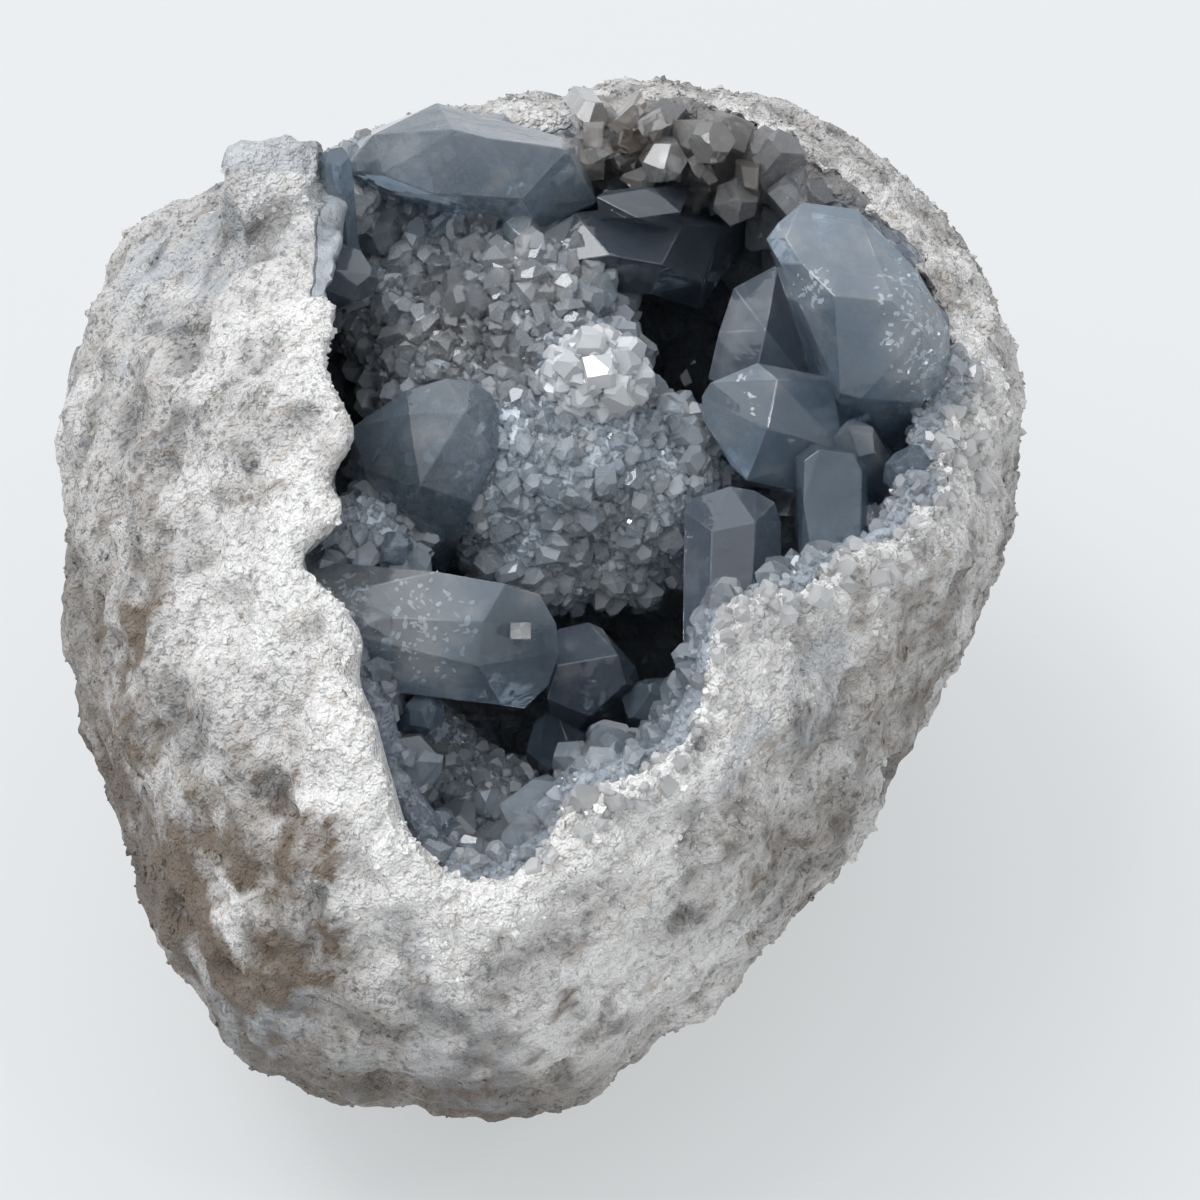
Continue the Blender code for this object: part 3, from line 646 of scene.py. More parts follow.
def crystal_material(name, colour, veil, veil_share, transmission, density, roughness):
    """Celestite: tinted glass with milky veils, and uneven, scratched faces where it is thick."""
    shader = Shader(name, IOR=1.62, Transmission_Weight=transmission, Metallic=0.0)
    clouds = shader.speckle(0.005, veil_share, 0.2, 6.0 if density else 2.0)
    zone = shader.spread(shader.mask("zone"), -1.0, 1.0, -0.8, 0.8)
    body = shader.mix(shader.math("ADD", clouds, zone, clamp=True), colour, veil)
    body = shader.shade(body, "zone", 0.45, 1.0, -1.0, 0.0)
    body = shader.mix(shader.mask("rust"), body, (0.40, 0.34, 0.29))
    body = shader.mix(shader.mask("pale"), body, (0.86, 0.86, 0.86))
    body = shader.shade(body, "tone", 1.0, 0.72)
    body = shader.shade(body, "facet", 1.0, 0.7)
    rough = shader.spread(clouds, 0.0, 1.0, roughness, roughness + 0.1)
    if not density:
        return shader.finish(body, rough)
    scratches = shader.speckle(0.002, 0.4, 0.3, 2.0, shader.stretch(4.0, 0.6, -15))
    waves = shader.speckle(0.0028, 0.5, 0.6, 1.0)
    absorb = shader.node("ShaderNodeVolumeAbsorption", "Volume", {
        "Color": ABSORPTION_COLOUR, "Density": density,
    })
    feed(shader.tree, shader.tree.nodes["Material Output"].inputs["Volume"], absorb)
    height = shader.math("MULTIPLY_ADD", scratches, 0.3, waves)
    return shader.finish(body, rough, height, 0.00010)


def named_celestite(name):
    return crystal_material(name, *CELESTITE[name])


def bed_material():
    """The fine dark druse between the crystals, and the paler druse of the lumps."""
    shader = Shader("crystal_bed")
    clouds = shader.speckle(0.004, 0.5, 0.3)
    body = shader.mix(clouds, (0.10, 0.12, 0.15), (0.26, 0.30, 0.35))
    pale = shader.mix(clouds, (0.60, 0.67, 0.73), (0.82, 0.87, 0.91))
    body = shader.mix(shader.mask("milky"), body, pale)
    grains = shader.speckle(0.0009, 0.45, 0.1)
    body = shader.mix(shader.math("MULTIPLY", grains, 0.4), body, (0.40, 0.43, 0.46))
    body = shader.mix(shader.mask("rust"), body, (0.20, 0.17, 0.14))
    rough = shader.spread(grains, 0.0, 1.0, 0.45, 0.2)
    return shader.finish(body, rough, shader.grain(0.0012), 0.0008)


def white_material(name, blotch, first, second, rough, grain, height):
    """Plain white mineral with faint blotches and a fine grain."""
    shader = Shader(name)
    clouds = shader.speckle(blotch, 0.5, 0.3)
    body = shader.mix(clouds, first, second)
    return shader.finish(body, shader.spread(clouds, 0.0, 1.0, *rough), shader.grain(grain), height)


# Pieces


def ball(u, v, w, middle, radius):
    """A round cloud, from 1 in its middle to 0 at its radius."""
    away = np.sqrt((u - middle[0]) ** 2 + (v - middle[1]) ** 2 + (w - middle[2]) ** 2) / radius
    return np.clip(1 - away * away, 0, 1)


def blots(u, v, w, marks):
    """Round patches on the front of the nodule, each strongest in its middle."""
    for middle, radius, amount in marks:
        away = np.hypot(u - middle[0], v - middle[1]) / radius
        yield np.clip(1 - away * away, 0, 1) * (w > 0) * amount


def rock_masks(mesh):
    """Where the bloom, the stains, the painted shade of the underside and the base, and the bare
    crystal lie.
    """
    points = corner_array(mesh)
    u, v, w = face_coordinates(points)
    front = np.clip((w - 2) / 14, 0, 1)
    share = mouth_share(u, v, w)
    reach = np.hypot(u - MOUTH_MIDDLE[0], v - MOUTH_MIDDLE[1])
    gap = reach * (1 - 1 / np.maximum(share, 0.2))
    near = np.clip(1 - gap / 17.0, 0, 1)
    lower = np.clip((16 - v) / 26, 0, 1)
    bloom = np.clip(near ** 1.1 * (0.7 + 0.5 * lower) * front, 0, 1)
    bloom = np.maximum(bloom, ball(u, v, w, (6, -34, 30), 24) * 0.65)
    ripple = np.array([fractal(Vector(p) * 120) for p in points])
    bloom = np.clip(bloom + ripple * 0.5, 0, 1)
    wave = np.array([fractal(Vector(p) * 210 + Vector((5, 2, 8))) for p in points])
    ragged_u, ragged_v = u + 9 * ripple, v + 9 * wave
    stain = np.maximum.reduce([
        *blots(ragged_u, ragged_v, w, STAINS),
        *(ball(u, v, w, middle, radius) * amount for middle, radius, amount in BACK_STAINS),
    ])
    stain = np.clip(stain * (1.1 + 1.2 * wave), 0, 1)
    # Painted shade: the shade mask darkens the rock near the table and on the underside beyond the
    # crease.
    low = np.clip((14 - points[:, 2] / MM) / 16, 0, 1)
    turn = np.mod(np.degrees(np.arctan2(v, u)), 360)
    beyond = np.hypot(u, v) / outline_radius(np.radians(turn))
    under = np.clip((beyond - 0.84) / 0.1, 0, 1) * np.clip((turn - 165) / 15, 0, 1)
    under *= np.clip((290 - turn) / 20, 0, 1)
    shade = np.clip(0.6 * low + 0.95 * under * (1 + 0.8 * ripple), 0, 1)
    block = (np.abs(u + 25) < 8) & (v > 33) & (w > 10)
    block_top = block & (v > 40.5)
    block_side = (u > -20.8) & (u < -16) & (v > 28) & (v < 46) & (w > 8) & (share > 0.97)
    crystal = np.where(block_side, 0.9, np.where(block_top, 0.55, np.where(block, 0.15, 0.0)))
    crystal = np.maximum.reduce([crystal, *blots(ragged_u, ragged_v, w, BARE_CRYSTAL)])
    inner = (share < 0.985) & (skin_depth(u, v, w) > 2.5)
    crystal = np.where(inner, 0.8, crystal)
    outer = (skin_depth(u, v, w) < 3.5) & (points[:, 2] > 0.0012)
    crumbs = np.where(w > -6, 0.35 + 0.65 * np.clip(near * 1.4, 0, 1), 0.10)
    lower_right = (u > 0) & (v < 22) & (w > 18)
    seam = np.clip(1 - np.abs(gap - 1.0) / 4.0, 0, 1)
    store_masks(
        mesh, bloom=bloom, stain=stain, shade=shade, crystal=np.clip(crystal, 0, 1),
        crumbs=crumbs * outer * (crystal < 0.5), rim=seam * lower_right * 0.9,
        size=0.7 + 0.6 * np.clip(ripple + 0.4, 0, 1),
    )


def weather(mesh, relief):
    """Moves the rock's corners by lumps, ledges and pits, and keeps the flat spot flat."""
    points = corner_array(mesh).astype(np.float64)
    normals = normal_array(mesh)
    u, v, w = face_coordinates(points)
    outside = np.clip(1 - skin_depth(u, v, w) / 6.0, 0, 1)
    edge = np.clip(1 - np.abs(mouth_share(u, v, w) - 1.0) / 0.10, 0, 1) * (w > 8) * outside
    shift = np.zeros((len(points), 3))
    noise.seed_set(NOISE_SEED)
    rise = np.zeros(len(points))
    for k, point in enumerate(points):
        if outside[k] == 0:
            continue
        spot = Vector(point)
        lumps = fractal(spot * 130, 3)
        crumbs = fractal(spot * 430 + Vector((3, 1, 2)), 3)
        ledge = abs(noise.noise(spot * 95 + Vector((9, 4, 1))))
        holes = max(0.0, noise.noise(spot * 230 + Vector((1, 7, 5))) - 0.3)
        rise[k] = lumps * 1.2 + crumbs * 0.5 + ledge * 0.9 - holes * 6.0 - 0.3
        if edge[k] > 0:
            shift[k] = noise.turbulence_vector(spot * 420, 3, False) * edge[k]
    points += shift * 0.0009
    rise = rise * relief * outside
    wider = [(middle, radius * 1.2, depth) for middle, radius, depth in PITS]
    for hollow in blots(u, v, w, wider):
        rise -= hollow * MM
    points += normals * rise[:, None]
    points[:, 2] = np.maximum(points[:, 2], 0.0)
    set_corners(mesh, points)


class GEODE_OT_rock(bpy.types.Operator):
    """Weather the nodule of rock"""

    bl_idname = "geode.rock"
    bl_label = "Weathered rock"
    bl_options = {"REGISTER", "UNDO"}

    def execute(self, context):
        settings = context.scene.geode_rock
        rock = bpy.data.objects.new("rock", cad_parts["host_rock"].data.copy())
        context.scene.collection.objects.link(rock)
        edit(rock)
        bpy.ops.mesh.remove_doubles(threshold=0.000005)
        end_edit()
        apply_modifier(rock, "REMESH", mode="VOXEL", voxel_size=settings.grain)
        apply_modifier(rock, "SMOOTH", factor=0.6, iterations=5)
        refine_front(rock)
        weather(rock.data, settings.relief)
        rock_masks(rock.data)
        material = rock_material(settings)
        finish_piece(rock, "host_rock", material, smooth_angle=60)
        dice = random.Random(8)
        crumbs = [grain_seed("crumb_seed", 5, dice), grain_seed("chip_seed", 4, dice)]
        scatter(
            rock, "rock_crumbs", crumbs, "crumbs", 0.00052, 0.0008, 5, material,
            node="host_rock", lean=1.6,
        )
        for seed in crumbs:
            bpy.data.objects.remove(seed)
        return {"FINISHED"}


def refine_front(rock):
    """Halves the rock's mesh faces in front, where the weathered grain shows."""
    edit(rock)
    shape = bmesh.from_edit_mesh(rock.data)
    middles = np.array([face.calc_center_median() for face in shape.faces])
    u, v, w = face_coordinates(middles)
    front = (w > 3) & (skin_depth(u, v, w) < 4.5)
    for face, chosen in zip(shape.faces, front):
        face.select_set(bool(chosen))
    bmesh.update_edit_mesh(rock.data)
    bpy.ops.mesh.subdivide(number_cuts=1)
    end_edit()
    apply_modifier(rock, "SMOOTH", factor=0.5, iterations=2)


def grain_seed(name, sides, dice):
    """One angular grain of unit width, centred on the origin."""
    deselect()
    bpy.ops.mesh.primitive_uv_sphere_add(segments=sides, ring_count=3, radius=0.5)
    grain = bpy.context.object
    grain.name = name
    for corner in grain.data.vertices:
        corner.co *= dice.uniform(0.75, 1.15)
        corner.co.z *= 0.85
    return grain


def lining_setback(u, v):
    """How far below the skin the lining stops: a little on the right, deep under the left rim."""
    left = np.clip((-6 - u) / 6, 0, 1) * np.clip((40 - v) / 6, 0, 1)
    return 1.0 + 10.0 * left


class GEODE_OT_crystal_bed(bpy.types.Operator):
    """Line the hollow with a bed of fine druse and its rounded lumps"""

    bl_idname = "geode.crystal_bed"
    bl_label = "Crystal bed"
    bl_options = {"REGISTER", "UNDO"}

    def execute(self, context):
        deselect()
        bpy.ops.mesh.primitive_ico_sphere_add(subdivisions=7, radius=1)
        lining = context.object
        directions = corner_array(lining.data).astype(np.float64)
        directions /= np.linalg.norm(directions, axis=1)[:, None]
        reach = wall_distance(directions)
        wall = np.array(HOLLOW_MIDDLE) + directions * (reach - 1.0)[:, None]
        depth = skin_depth(wall[:, 0], wall[:, 1], wall[:, 2])
        kept = depth > lining_setback(wall[:, 0], wall[:, 1])
        uneven = np.array([fractal(Vector(d) * 6) for d in directions])
        inner = np.array(HOLLOW_MIDDLE) + directions * (reach - 3.4 - uneven * 1.1)[:, None]
        world = np.array([in_world(point) for point in inner])
        set_corners(lining.data, world)
        shape = bmesh.new()
        shape.from_mesh(lining.data)
        shape.verts.ensure_lookup_table()
        spare = [corner for corner in shape.verts if not kept[corner.index]]
        bmesh.ops.delete(shape, geom=spare, context="VERTS")
        shape.to_mesh(lining.data)
        shape.free()
        apply_modifier(lining, "SOLIDIFY", thickness=0.0038, offset=1.0)
        lumps = []
        for middle, radius in LUMPS:
            deselect()
            bpy.ops.mesh.primitive_ico_sphere_add(
                subdivisions=4, radius=(radius - 0.6) * MM, location=in_world(middle)
            )
            lumps.append(context.object)
        bed = join([lining, *lumps], "crystal_bed")
        apply_modifier(bed, "REMESH", mode="VOXEL", voxel_size=0.001)
        apply_modifier(bed, "SMOOTH", factor=0.5, iterations=4)
        mesh = bed.data
        points = corner_array(mesh).astype(np.float64)
        rise = np.array([fractal(Vector(p) * 260, 3) for p in points]) * 0.0006
        set_corners(mesh, points + normal_array(mesh) * rise[:, None])
        bed_masks(mesh)
        finish_piece(bed, "crystal_crust", bed_material(), 50)
        return {"FINISHED"}


def bed_masks(mesh):
    """Where small crystals grow on the bed, and how large they are."""
    points = corner_array(mesh)
    u, v, w = face_coordinates(points)
    offset = np.stack([u, v, w], axis=1) - np.array(HOLLOW_MIDDLE)
    length = np.linalg.norm(offset, axis=1)
    reach = wall_distance(offset / length[:, None])
    edge = np.clip((8 - skin_depth(u, v, w)) / 4, 0, 1) * (w > 4)
    edge = edge * ((v < 24) | (u < -14))
    inside = np.maximum(length < reach - 1.4, edge > 0.2).astype(float)
    lump = np.zeros(len(points))
    for middle, radius in LUMPS:
        away = np.sqrt((u - middle[0]) ** 2 + (v - middle[1]) ** 2 + (w - middle[2]) ** 2)
        lump = np.maximum(lump, np.clip((radius + 1.0 - away) * 2, 0, 1))
    broken = (u > -2) & (v > 31) & (w > 2)
    rust = np.clip((v - 34) / 6, 0, 1) * np.clip((u - 2) / 6, 0, 1) * 0.55
    ridge = ball(u, v, w, (-5, 26, 12), 14)
    near_rim = (skin_depth(u, v, w) < 12) & (v < 20)
    covered = np.maximum(lump, edge)
    store_masks(
        mesh, milky=inside * np.maximum(lump, edge * 0.3), fine=inside * covered,
        coarse=inside * (1 - covered), rust=np.maximum(rust, ridge * 0.4), pale=edge * 0.35,
        size=np.where(broken, 1.2, np.where(near_rim, 0.6, 1.0)) + 0.2 * ridge,
    )


def crystal_body(name, width, thickness, length, point, dice):
    """A tabular crystal standing on the origin: a six-sided prism whose end planes cut."""
    deselect()
    bpy.ops.mesh.primitive_cylinder_add(vertices=6, radius=0.5, depth=1.0, location=(0, 0, 0))
    crystal = bpy.context.object
    crystal.name = name
    for corner in crystal.data.vertices:
        corner.co.x *= width * (1.08 + 0.07 * math.sin(corner.co.y * 9 + dice.random()))
        corner.co.y *= thickness * 1.12
        corner.co.z = (corner.co.z + 0.5) * length
    edit(crystal)
    drop = point * min(width, thickness)
    for side, amount in (((1, 0), 0.9), ((-1, 0), 1.15), ((0, 1), 0.8), ((0, -1), 1.0)):
        slope = math.radians(dice.uniform(38, 58))
        reach = (width if side[0] else thickness) * 0.5
        normal = Vector((side[0] * math.sin(slope), side[1] * math.sin(slope), math.cos(slope)))
        cut(Vector((side[0] * reach, side[1] * reach, length - drop * amount * 2)), normal)
    near_level = Vector((dice.uniform(-0.1, 0.1), dice.uniform(-0.1, 0.1), 1))
    cut(Vector((0, 0, length - drop * 0.2)), near_level)
    for _ in range(3):
        turn = dice.uniform(0, math.tau)
        normal = direction(turn, math.radians(dice.uniform(20, 75)))
        cut_back(crystal, normal, dice.uniform(0.02, 0.09) * width)
    end_edit()
    return crystal


def direction(turn, tilt):
    """A direction that leans by the tilt away from straight up."""
    return Vector((math.cos(turn) * math.sin(tilt), math.sin(turn) * math.sin(tilt), math.cos(tilt)))


def cut_back(crystal, normal, depth):
    """Cuts a crystal's outermost part in a direction away, in edit mode."""
    corners = bmesh.from_edit_mesh(crystal.data).verts
    reach = max(normal.dot(corner.co) for corner in corners)
    cut(normal * (reach - depth), normal)


def cut(spot, normal):
    """Cuts off and closes what lies beyond a plane, in edit mode."""
    bpy.ops.mesh.select_all(action="SELECT")
    bpy.ops.mesh.bisect(
        plane_co=spot, plane_no=normal.normalized(), use_fill=True, clear_outer=True,
        threshold=0.0000001,
    )


def stand(crystal, root, tip, turn):
    """Moves a crystal that stands on the origin to its place among the others."""
    root, tip = Vector(root), Vector(tip)
    along = (tip - root).normalized()
    across = along.cross(Vector((0, 0, 1)))
    if across.length < 0.2:
        across = along.cross(Vector((0, 1, 0)))
    across = Matrix.Rotation(math.radians(turn), 3, along) @ across.normalized()
    through = across.cross(along)
    axes = [RIGHT * a.x + UP * a.y + OUT * a.z for a in (across, -through, along)]
    spot = in_world(root)
    crystal.matrix_world = Matrix((
        (axes[0].x, axes[1].x, axes[2].x, spot.x),
        (axes[0].y, axes[1].y, axes[2].y, spot.y),
        (axes[0].z, axes[1].z, axes[2].z, spot.z),
        (0, 0, 0, 1),
    ))
    make_active(crystal)
    bpy.ops.object.transform_apply(location=True, rotation=True, scale=True)


def cut_crystal(name, corners):
    """A crystal with a flat facet between the corners that lie in one plane."""
    deselect()
    bpy.ops.mesh.primitive_cube_add(size=0.001, location=(0, 0, 0))
    crystal = bpy.context.object
    crystal.name = name
    shape = bmesh.new()
    for corner in corners:
        shape.verts.new(in_world(corner))
    shape.to_mesh(crystal.data)
    shape.free()
    edit(crystal)
    bpy.ops.mesh.convex_hull()
    bpy.ops.mesh.select_all(action="SELECT")
    bpy.ops.mesh.dissolve_limited(angle_limit=math.radians(9))
    end_edit()
    return crystal


def tint_facets(mesh, dice):
    """Gives each facet its own depth of tint, as the growth zones of a real crystal have."""
    facet = mesh.attributes.new("facet", "FLOAT", "FACE")
    for cell in facet.data:
        cell.value = dice.random()


def cloud_zones(crystal):
    """Marks the milky and the dark parts of a large crystal, on a mesh fine enough for them."""
    edit(crystal)
    bpy.ops.mesh.quads_convert_to_tris()
    bpy.ops.mesh.subdivide(number_cuts=3)
    end_edit()
    u, v, _ = face_coordinates(corner_array(crystal.data))
    zone = np.zeros(len(u))
    for middle, radius, amount in CLOUDS:
        away = np.hypot(u - middle[0], v - middle[1]) / radius
        zone += np.clip(1.4 - away * away, 0, 1) * amount
    store_masks(crystal.data, zone=np.clip(zone, -1, 1))


class GEODE_OT_large_crystals(bpy.types.Operator):
    """Grow the large crystals one by one"""

    bl_idname = "geode.large_crystals"
    bl_label = "Large crystals"
    bl_options = {"REGISTER", "UNDO"}

    def execute(self, context):
        settings = context.scene.geode_crystal
        colour, veil = tuple(settings.colour), tuple(settings.veil_colour)
        clear = crystal_material("celestite", colour, veil, 0.5, 0.80, 18.0, 0.03)
        blue = named_celestite("blue_celestite")
        dark = named_celestite("dark_celestite")
        rusty = named_celestite("rusty_celestite")
        edges = named_celestite("pale_edges")
        dice = random.Random(21)
        shapes = {
            name: cut_crystal("crystal_" + name, spots) for name, spots in CUT_CRYSTALS.items()
        }
        for crystal in shapes.values():
            tint_facets(crystal.data, dice)
        for name, (root, tip, width, thickness, turn, point) in PRISMS.items():
            length = (Vector(tip) - Vector(root)).length * MM
            if name == "pale_square":
                shapes[name] = small_crystal("crystal_" + name, (1, 0.8, 1.3), 9, dice)
                for corner in shapes[name].data.vertices:
                    corner.co *= width * MM * 0.95
                    corner.co.z += length - 0.4 * width * MM
            else:
                shapes[name] = crystal_body(
                    "crystal_" + name, width * MM, thickness * MM, length, point, dice
                )
                tint_facets(shapes[name].data, dice)
            stand(shapes[name], root, tip, turn)
        chunks = []
        for _ in range(LEDGE_CRYSTALS):
            turn = math.radians(dice.uniform(42, 100))
            reach = dice.uniform(31, 37.5)
            across = Vector((math.cos(turn) * reach, math.sin(turn) * reach, 0))
            spot = across + Vector((7, 10, dice.uniform(11, 17)))
            shape = (1, dice.uniform(0.5, 0.9), dice.uniform(0.7, 1.7))
            chunk = small_crystal("chunk", shape, 8, dice)
            size = dice.choice((1.4, 1.8, 2.3, 3.0, 3.9)) * MM
            for corner in chunk.data.vertices:
                corner.co *= size
            tip = spot + Vector((dice.uniform(-3, 3), dice.uniform(-4, 1), 3))
            stand(chunk, spot - Vector((0, 0, 2)), tip, dice.uniform(0, 360))
            chunks.append(chunk)
            store_masks(
                chunk.data, tone=dice.uniform(-0.6, 1.4), rust=dice.choice((0, 0.2, 0.6, 0.9))
            )
        ledge = join(chunks, "ledge_crystals")
        finish_piece(ledge, "crystal_crust", rusty)
        for name, crystal in shapes.items():
            material = clear
            if name in BLUE_CRYSTALS:
                material = blue
            if name in DARK_CRYSTALS:
                material = dark
            if name in RUSTY_CRYSTALS:
                material = rusty
            crystal.data.materials.append(material)
            # The bevel faces take the second material, a painted edge highlight.
            crystal.data.materials.append(edges)
            apply_modifier(
                crystal, "BEVEL", width=settings.edge_width, segments=2, limit_method="ANGLE",
                angle_limit=math.radians(14), material=1,
            )
            if name in CUT_CRYSTALS:
                cloud_zones(crystal)
            finish_piece(crystal, "crystal_crust", None, 6)
        flakes = veil_flakes([shapes[name] for name in CUT_CRYSTALS], dice)
        white = white_material(
            "bright_flakes", 0.0012, (0.90, 0.95, 1.0), (1.0, 1.0, 1.0), (0.35, 0.15), 0.0006, 0.0002
        )
        finish_piece(flakes, "crystal_crust", white)
        return {"FINISHED"}


def veil_flakes(crystals, dice):
    """Small thin flakes at different depths where the crystals are fractured inside, and under the
    painted glint of the lower left crystal.
    """
    deselect()
    bpy.ops.mesh.primitive_cylinder_add(vertices=5, radius=0.5, depth=0.07, location=(0, 0, 0))
    plate = bpy.context.object
    flakes = []
    for (u, v), radius, amount in CLOUDS:
        if amount < FLAKE_AMOUNT:
            continue
        for _ in range(int(amount * radius * FLAKES_PER_MM)):
            turn, away = dice.uniform(0, math.tau), radius * dice.random() ** 0.7
            start = in_world((u + math.cos(turn) * away, v + math.sin(turn) * away, 60))
            hits = [crystal.ray_cast(start, -OUT) for crystal in crystals]
            spots = [(spot - start).length for hit, spot, _, _ in hits if hit]
            size = Vector((dice.uniform(0.2, 1.0), dice.uniform(0.15, 0.6), 1.0)) * MM
            lean = [dice.gauss(0, 0.35), dice.gauss(0, 0.35), dice.uniform(0, math.tau)]
            sunk = min(spots, default=0) + dice.uniform(0.1, 2.4) * MM
            if not spots:
                continue
            facing = OUT.to_track_quat("Z", "Y").to_matrix() @ Euler(lean).to_matrix()
            flake = bpy.data.objects.new("flake", plate.data.copy())
            bpy.context.scene.collection.objects.link(flake)
            flake.data.transform(Matrix.LocRotScale(start - OUT * sunk, facing, size))
            flakes.append(flake)
    bpy.data.objects.remove(plate)
    return join(flakes, "bright_flakes")


def small_crystal(name, stretch, cuts, dice):
    """One small crystal of unit width with flat facets, its foot at the origin."""
    deselect()
    bpy.ops.mesh.primitive_cube_add(size=1, location=(0, 0, 0))
    crystal = bpy.context.object
    crystal.name = name
    for corner in crystal.data.vertices:
        corner.co.x *= stretch[0]
        corner.co.y *= stretch[1]
        corner.co.z = (corner.co.z + 0.2) * stretch[2]
    edit(crystal)
    for k in range(cuts):
        turn = math.tau * (k + dice.uniform(0.3, 0.7)) / cuts
        rise = math.radians(dice.uniform(25, 65))
        normal = direction(turn, math.radians(90) - rise)
        cut_back(crystal, normal, dice.uniform(0.2, 0.34))
    end_edit()
    return crystal


def growth_tree(name, templates, where, size, spacing, seed, lean):
    """Geometry Nodes that stand copies of small shapes all over a bed, where a mask lets them."""
    tree = bpy.data.node_groups.new(name + "_growth", "GeometryNodeTree")
    for way in ("INPUT", "OUTPUT"):
        tree.interface.new_socket("Geometry", in_out=way, socket_type="NodeSocketGeometry")

    def add(kind, fill=None, **choices):
        return add_node(tree, kind, fill, **choices).outputs

    def attribute(label):
        fill = {"Name": label}
        return add("GeometryNodeInputNamedAttribute", fill, data_type="FLOAT")["Attribute"]

    given = add("NodeGroupInput")
    spread = add("GeometryNodeDistributePointsOnFaces", {
        "Mesh": given[0], "Distance Min": spacing, "Density Max": 1.2 / (spacing * spacing),
        "Seed": seed, "Density Factor": attribute(where),
    }, distribute_method="POISSON")
    gather = add_node(tree, "GeometryNodeJoinGeometry")
    for template in reversed(templates):
        source = add("GeometryNodeObjectInfo", {"Object": template, "As Instance": True})
        tree.links.new(source["Geometry"], gather.inputs["Geometry"])
    tilt = add("FunctionNodeRandomValue", {
        "Min": (-lean, -lean, 0.0), "Max": (lean, lean, math.tau), "Seed": seed + 1,
    }, data_type="FLOAT_VECTOR")
    turn = add("FunctionNodeRotateRotation", {
        "Rotation": spread["Rotation"],
        "Rotate By": add("FunctionNodeEulerToRotation", {"Euler": tilt["Value"]})["Rotation"],
    }, rotation_space="LOCAL")
    chance = add("FunctionNodeRandomValue", {"Seed": seed + 2}, data_type="FLOAT")
    few_large = add_math(tree, "POWER", chance[1], 4.0)
    width = add_math(tree, "MULTIPLY_ADD", few_large, size * 1.7, size * 0.68)
    place = add("GeometryNodeInstanceOnPoints", {
        "Points": spread["Points"], "Instance": gather.outputs["Geometry"],
        "Pick Instance": True, "Rotation": turn["Rotation"],
        "Scale": add_math(tree, "MULTIPLY", width, attribute("size")),
    })
    shade = add("FunctionNodeRandomValue", {"Seed": seed + 3}, data_type="FLOAT")
    tone = add("GeometryNodeStoreNamedAttribute", {
        "Name": "tone", "Geometry": place["Instances"], "Value": shade[1],
    }, data_type="FLOAT", domain="INSTANCE")
    real = add("GeometryNodeRealizeInstances", {"Geometry": tone["Geometry"]})
    add("NodeGroupOutput", {0: real["Geometry"]})
    return tree


def scatter(
    target, name, templates, where, size, spacing, seed, material,
    node="crystal_crust", lean=0.6,
):
    """Grows copies of small shapes all over a bed as one piece."""
    druse = bpy.data.objects.new(name, target.data.copy())
    bpy.context.scene.collection.objects.link(druse)
    tree = growth_tree(name, templates, where, size, spacing, seed, lean)
    apply_modifier(druse, "NODES", node_group=tree)
    finish_piece(druse, node, material)


class GEODE_OT_druse(bpy.types.Operator):
    """Grow small crystals all over the crystal bed"""

    bl_idname = "geode.druse"
    bl_label = "Small crystals"
    bl_options = {"REGISTER", "UNDO"}

    def execute(self, context):
        settings = context.scene.geode_druse
        dice = random.Random(settings.seed)
        templates = [
            small_crystal("seed_block", (0.9, 0.75, 1.0), 4, dice),
            small_crystal("seed_blade", (1.0, 0.55, 1.0), 4, dice),
            small_crystal("seed_cube", (0.85, 0.85, 0.9), 5, dice),
        ]
        for target, kind, mask, size, spacing, seed, lean in (
            ("crystal_bed", "small", "coarse", 1.0, 1.0, 0, 0.6),
            ("crystal_bed", "fine", "fine", 0.48, 0.42, 5, 0.45),
            ("rock", "rim", "rim", 0.36, 0.4, 9, 0.6),
        ):
            scatter(
                bpy.data.objects[target], kind + "_crystals", templates, mask,
                settings.size * size, settings.spacing * spacing, settings.seed + seed,
                named_celestite(kind + "_celestite"), lean=lean,
            )
        for template in templates:
            bpy.data.objects.remove(template)
        return {"FINISHED"}


class GEODE_OT_white_cluster(bpy.types.Operator):
    """Grow the bright white cluster in the middle of the hollow"""

    bl_idname = "geode.white_cluster"
    bl_label = "White cluster"
    bl_options = {"REGISTER", "UNDO"}

    def execute(self, context):
        deselect()
        bpy.ops.mesh.primitive_ico_sphere_add(
            subdivisions=4, radius=0.001, location=in_world((5.6, 21.1, 25.6)),
            scale=(4.6, 3.5, 3.8),
        )
        core = context.object
        bpy.ops.object.transform_apply(location=True, rotation=True, scale=True)
        store_masks(core.data, grows=1.0, size=1.0)
        dice = random.Random(3)
        template = small_crystal("seed_white", (1.0, 0.85, 0.9), 5, dice)
        material = named_celestite("white_celestite")
        scatter(core, "white_crystals", [template], "grows", 0.0013, 0.0008, 9, material)
        core.name = "white_core"
        white = white_material(
            "white_bed", 0.002, (0.78, 0.81, 0.84), (0.93, 0.94, 0.95), (0.5, 0.3), 0.001, 0.0005
        )
        finish_piece(core, "crystal_crust", white, 40)
        bpy.data.objects.remove(template)
        return {"FINISHED"}


def place_on_stage(data, spot, facing):
    """A light or the camera at its place, looking one way."""
    obj = bpy.data.objects.new(data.name, data)
    bpy.context.scene.collection.objects.link(obj)
    obj.location = spot
    obj.rotation_mode = "QUATERNION"
    obj.rotation_quaternion = facing.to_track_quat("-Z", "Y")
    return obj


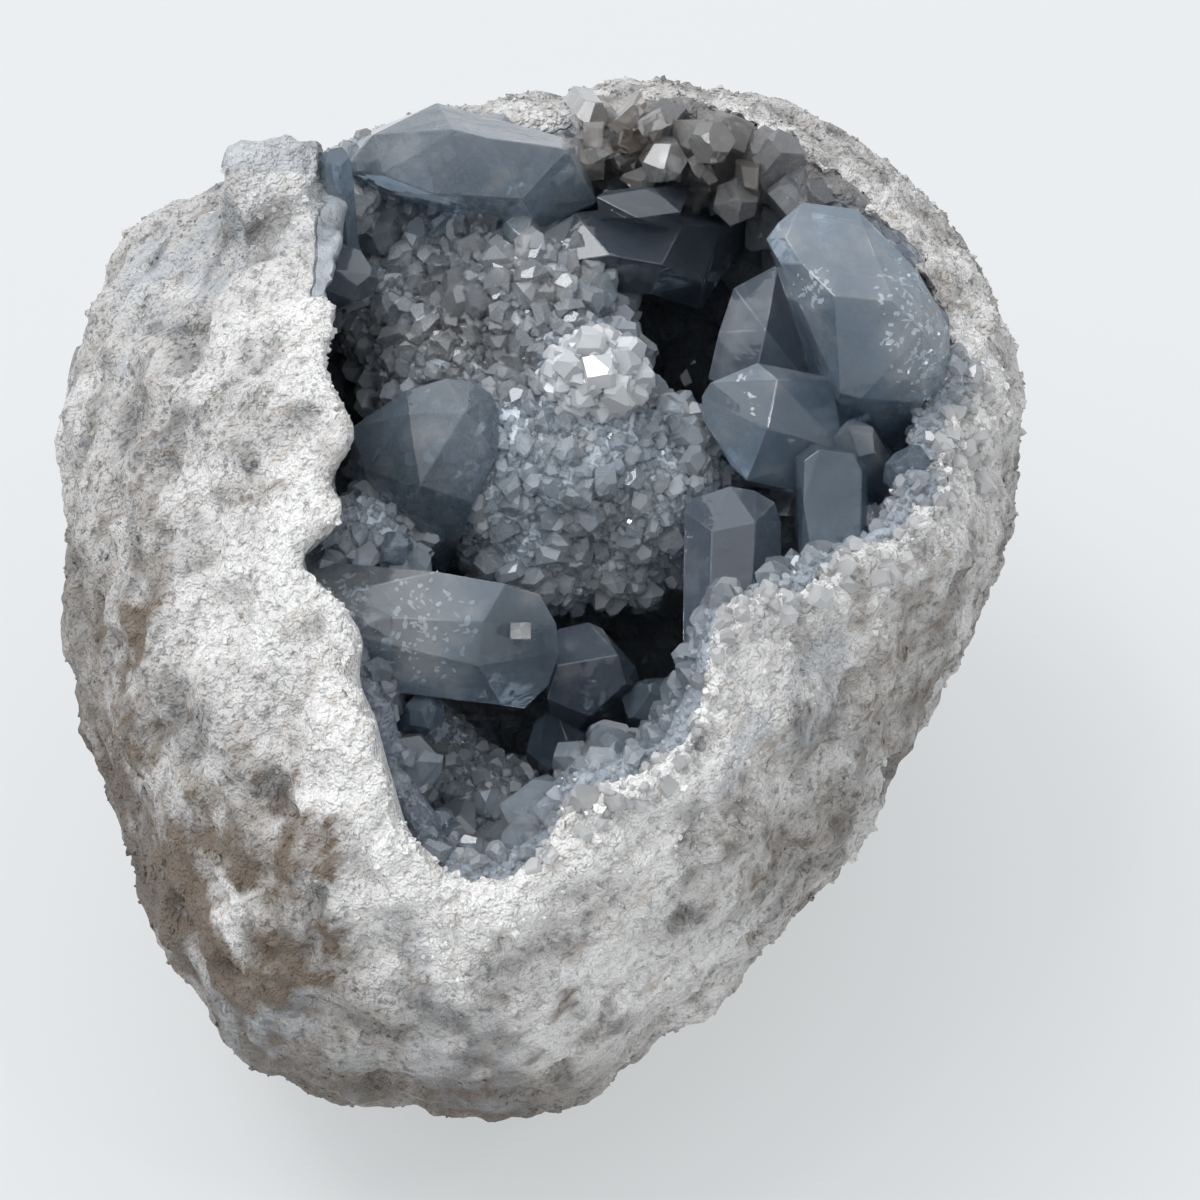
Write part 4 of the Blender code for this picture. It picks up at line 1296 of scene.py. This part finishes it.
class GEODE_OT_stage(bpy.types.Operator):
    """Set the pale table, the soft lights and the camera"""

    bl_idname = "geode.stage"
    bl_label = "Table, lights and camera"
    bl_options = {"REGISTER", "UNDO"}

    def execute(self, context):
        scene = context.scene
        settings = scene.geode_stage
        deselect()
        bpy.ops.mesh.primitive_plane_add(size=8, location=(0, 0, -0.0002))
        floor = context.object
        floor.name = "table"
        shader = Shader("pale_table", Roughness=0.9)
        tone = tuple(settings.floor_colour)
        feed(shader.tree, shader.surface.inputs["Emission Color"], (0.955, 0.985, 1.0))
        feed(shader.tree, shader.surface.inputs["Emission Strength"], 0.47)
        paper = shader.mix(shader.speckle(0.4, 0.5, 0.5), tone, tuple(c * 0.99 for c in tone))
        floor.data.materials.append(shader.finish(paper))
        world = bpy.data.worlds.new("studio")
        world.use_nodes = True
        sky = world.node_tree
        way = add_node(sky, "ShaderNodeTexCoord").outputs["Generated"]
        brightest = Vector((-0.55, 0.25, 0.80)).normalized()
        facing = add_node(sky, "ShaderNodeVectorMath", {0: way, 1: brightest}, operation="DOT_PRODUCT")
        glow = add_node(sky, "ShaderNodeMapRange", {
            "Value": facing.outputs["Value"], "From Min": 0.1, "From Max": 0.95,
            "To Min": 0.72, "To Max": 1.55,
        }, interpolation_type="SMOOTHSTEP")
        background = sky.nodes["Background"]
        feed(sky, background.inputs["Color"], (0.93, 0.96, 1.0))
        feed(sky, background.inputs["Strength"], glow.outputs["Result"])
        scene.world = world
        scene.view_settings.view_transform = "Standard"
        target = in_world((0, 0, 0))
        for name, spot, width, power in (
            ("key", (-0.75, 0.20, 1.75), 0.7, settings.key_power),
            ("glint", (0.60, -0.50, 1.20), 0.12, settings.key_power * 0.14),
            ("catch", (-0.45, -0.35, 1.45), 0.12, settings.key_power * 0.14),
        ):
            light = bpy.data.lights.new(name, "AREA")
            light.size = width
            light.energy = power
            place_on_stage(light, Vector(spot), target - Vector(spot))
        camera = bpy.data.cameras.new("camera")
        camera.sensor_width = 36
        camera.lens = 104.85
        camera.clip_start = 0.01
        camera.clip_end = 20
        scene.camera = place_on_stage(camera, in_world((6, 0, 353)), -OUT)
        return {"FINISHED"}


OPERATORS = (
    GEODE_OT_rock, GEODE_OT_crystal_bed, GEODE_OT_large_crystals, GEODE_OT_druse,
    GEODE_OT_white_cluster, GEODE_OT_stage,
)


class GEODE_PT_panel(bpy.types.Panel):
    """Lists the pieces of the geode"""

    bl_idname = "GEODE_PT_panel"
    bl_label = "Geode"
    bl_space_type = "VIEW_3D"
    bl_region_type = "UI"
    bl_category = "Geode"

    def draw(self, context):
        for operator in OPERATORS:
            self.layout.operator(operator.bl_idname)
        for name in SETTINGS:
            for label in getattr(context.scene, name).__annotations__:
                self.layout.prop(getattr(context.scene, name), label)


SETTINGS = {
    "geode_rock": GeodeRockSettings,
    "geode_crystal": GeodeCrystalSettings,
    "geode_druse": GeodeDruseSettings,
    "geode_stage": GeodeStageSettings,
}


def register():
    for kind in (*SETTINGS.values(), *OPERATORS, GEODE_PT_panel):
        bpy.utils.register_class(kind)
    for name, kind in SETTINGS.items():
        setattr(bpy.types.Scene, name, PointerProperty(type=kind))


def unregister():
    for name in SETTINGS:
        delattr(bpy.types.Scene, name)
    for kind in reversed((*SETTINGS.values(), *OPERATORS, GEODE_PT_panel)):
        bpy.utils.unregister_class(kind)


def main():
    register()
    build_speckle_group()
    build_grain_group()
    bpy.ops.geode.rock()
    bpy.ops.geode.crystal_bed()
    bpy.ops.geode.large_crystals()
    bpy.ops.geode.druse()
    bpy.ops.geode.white_cluster()
    bpy.ops.geode.stage()


if __name__ == "__main__":
    main()
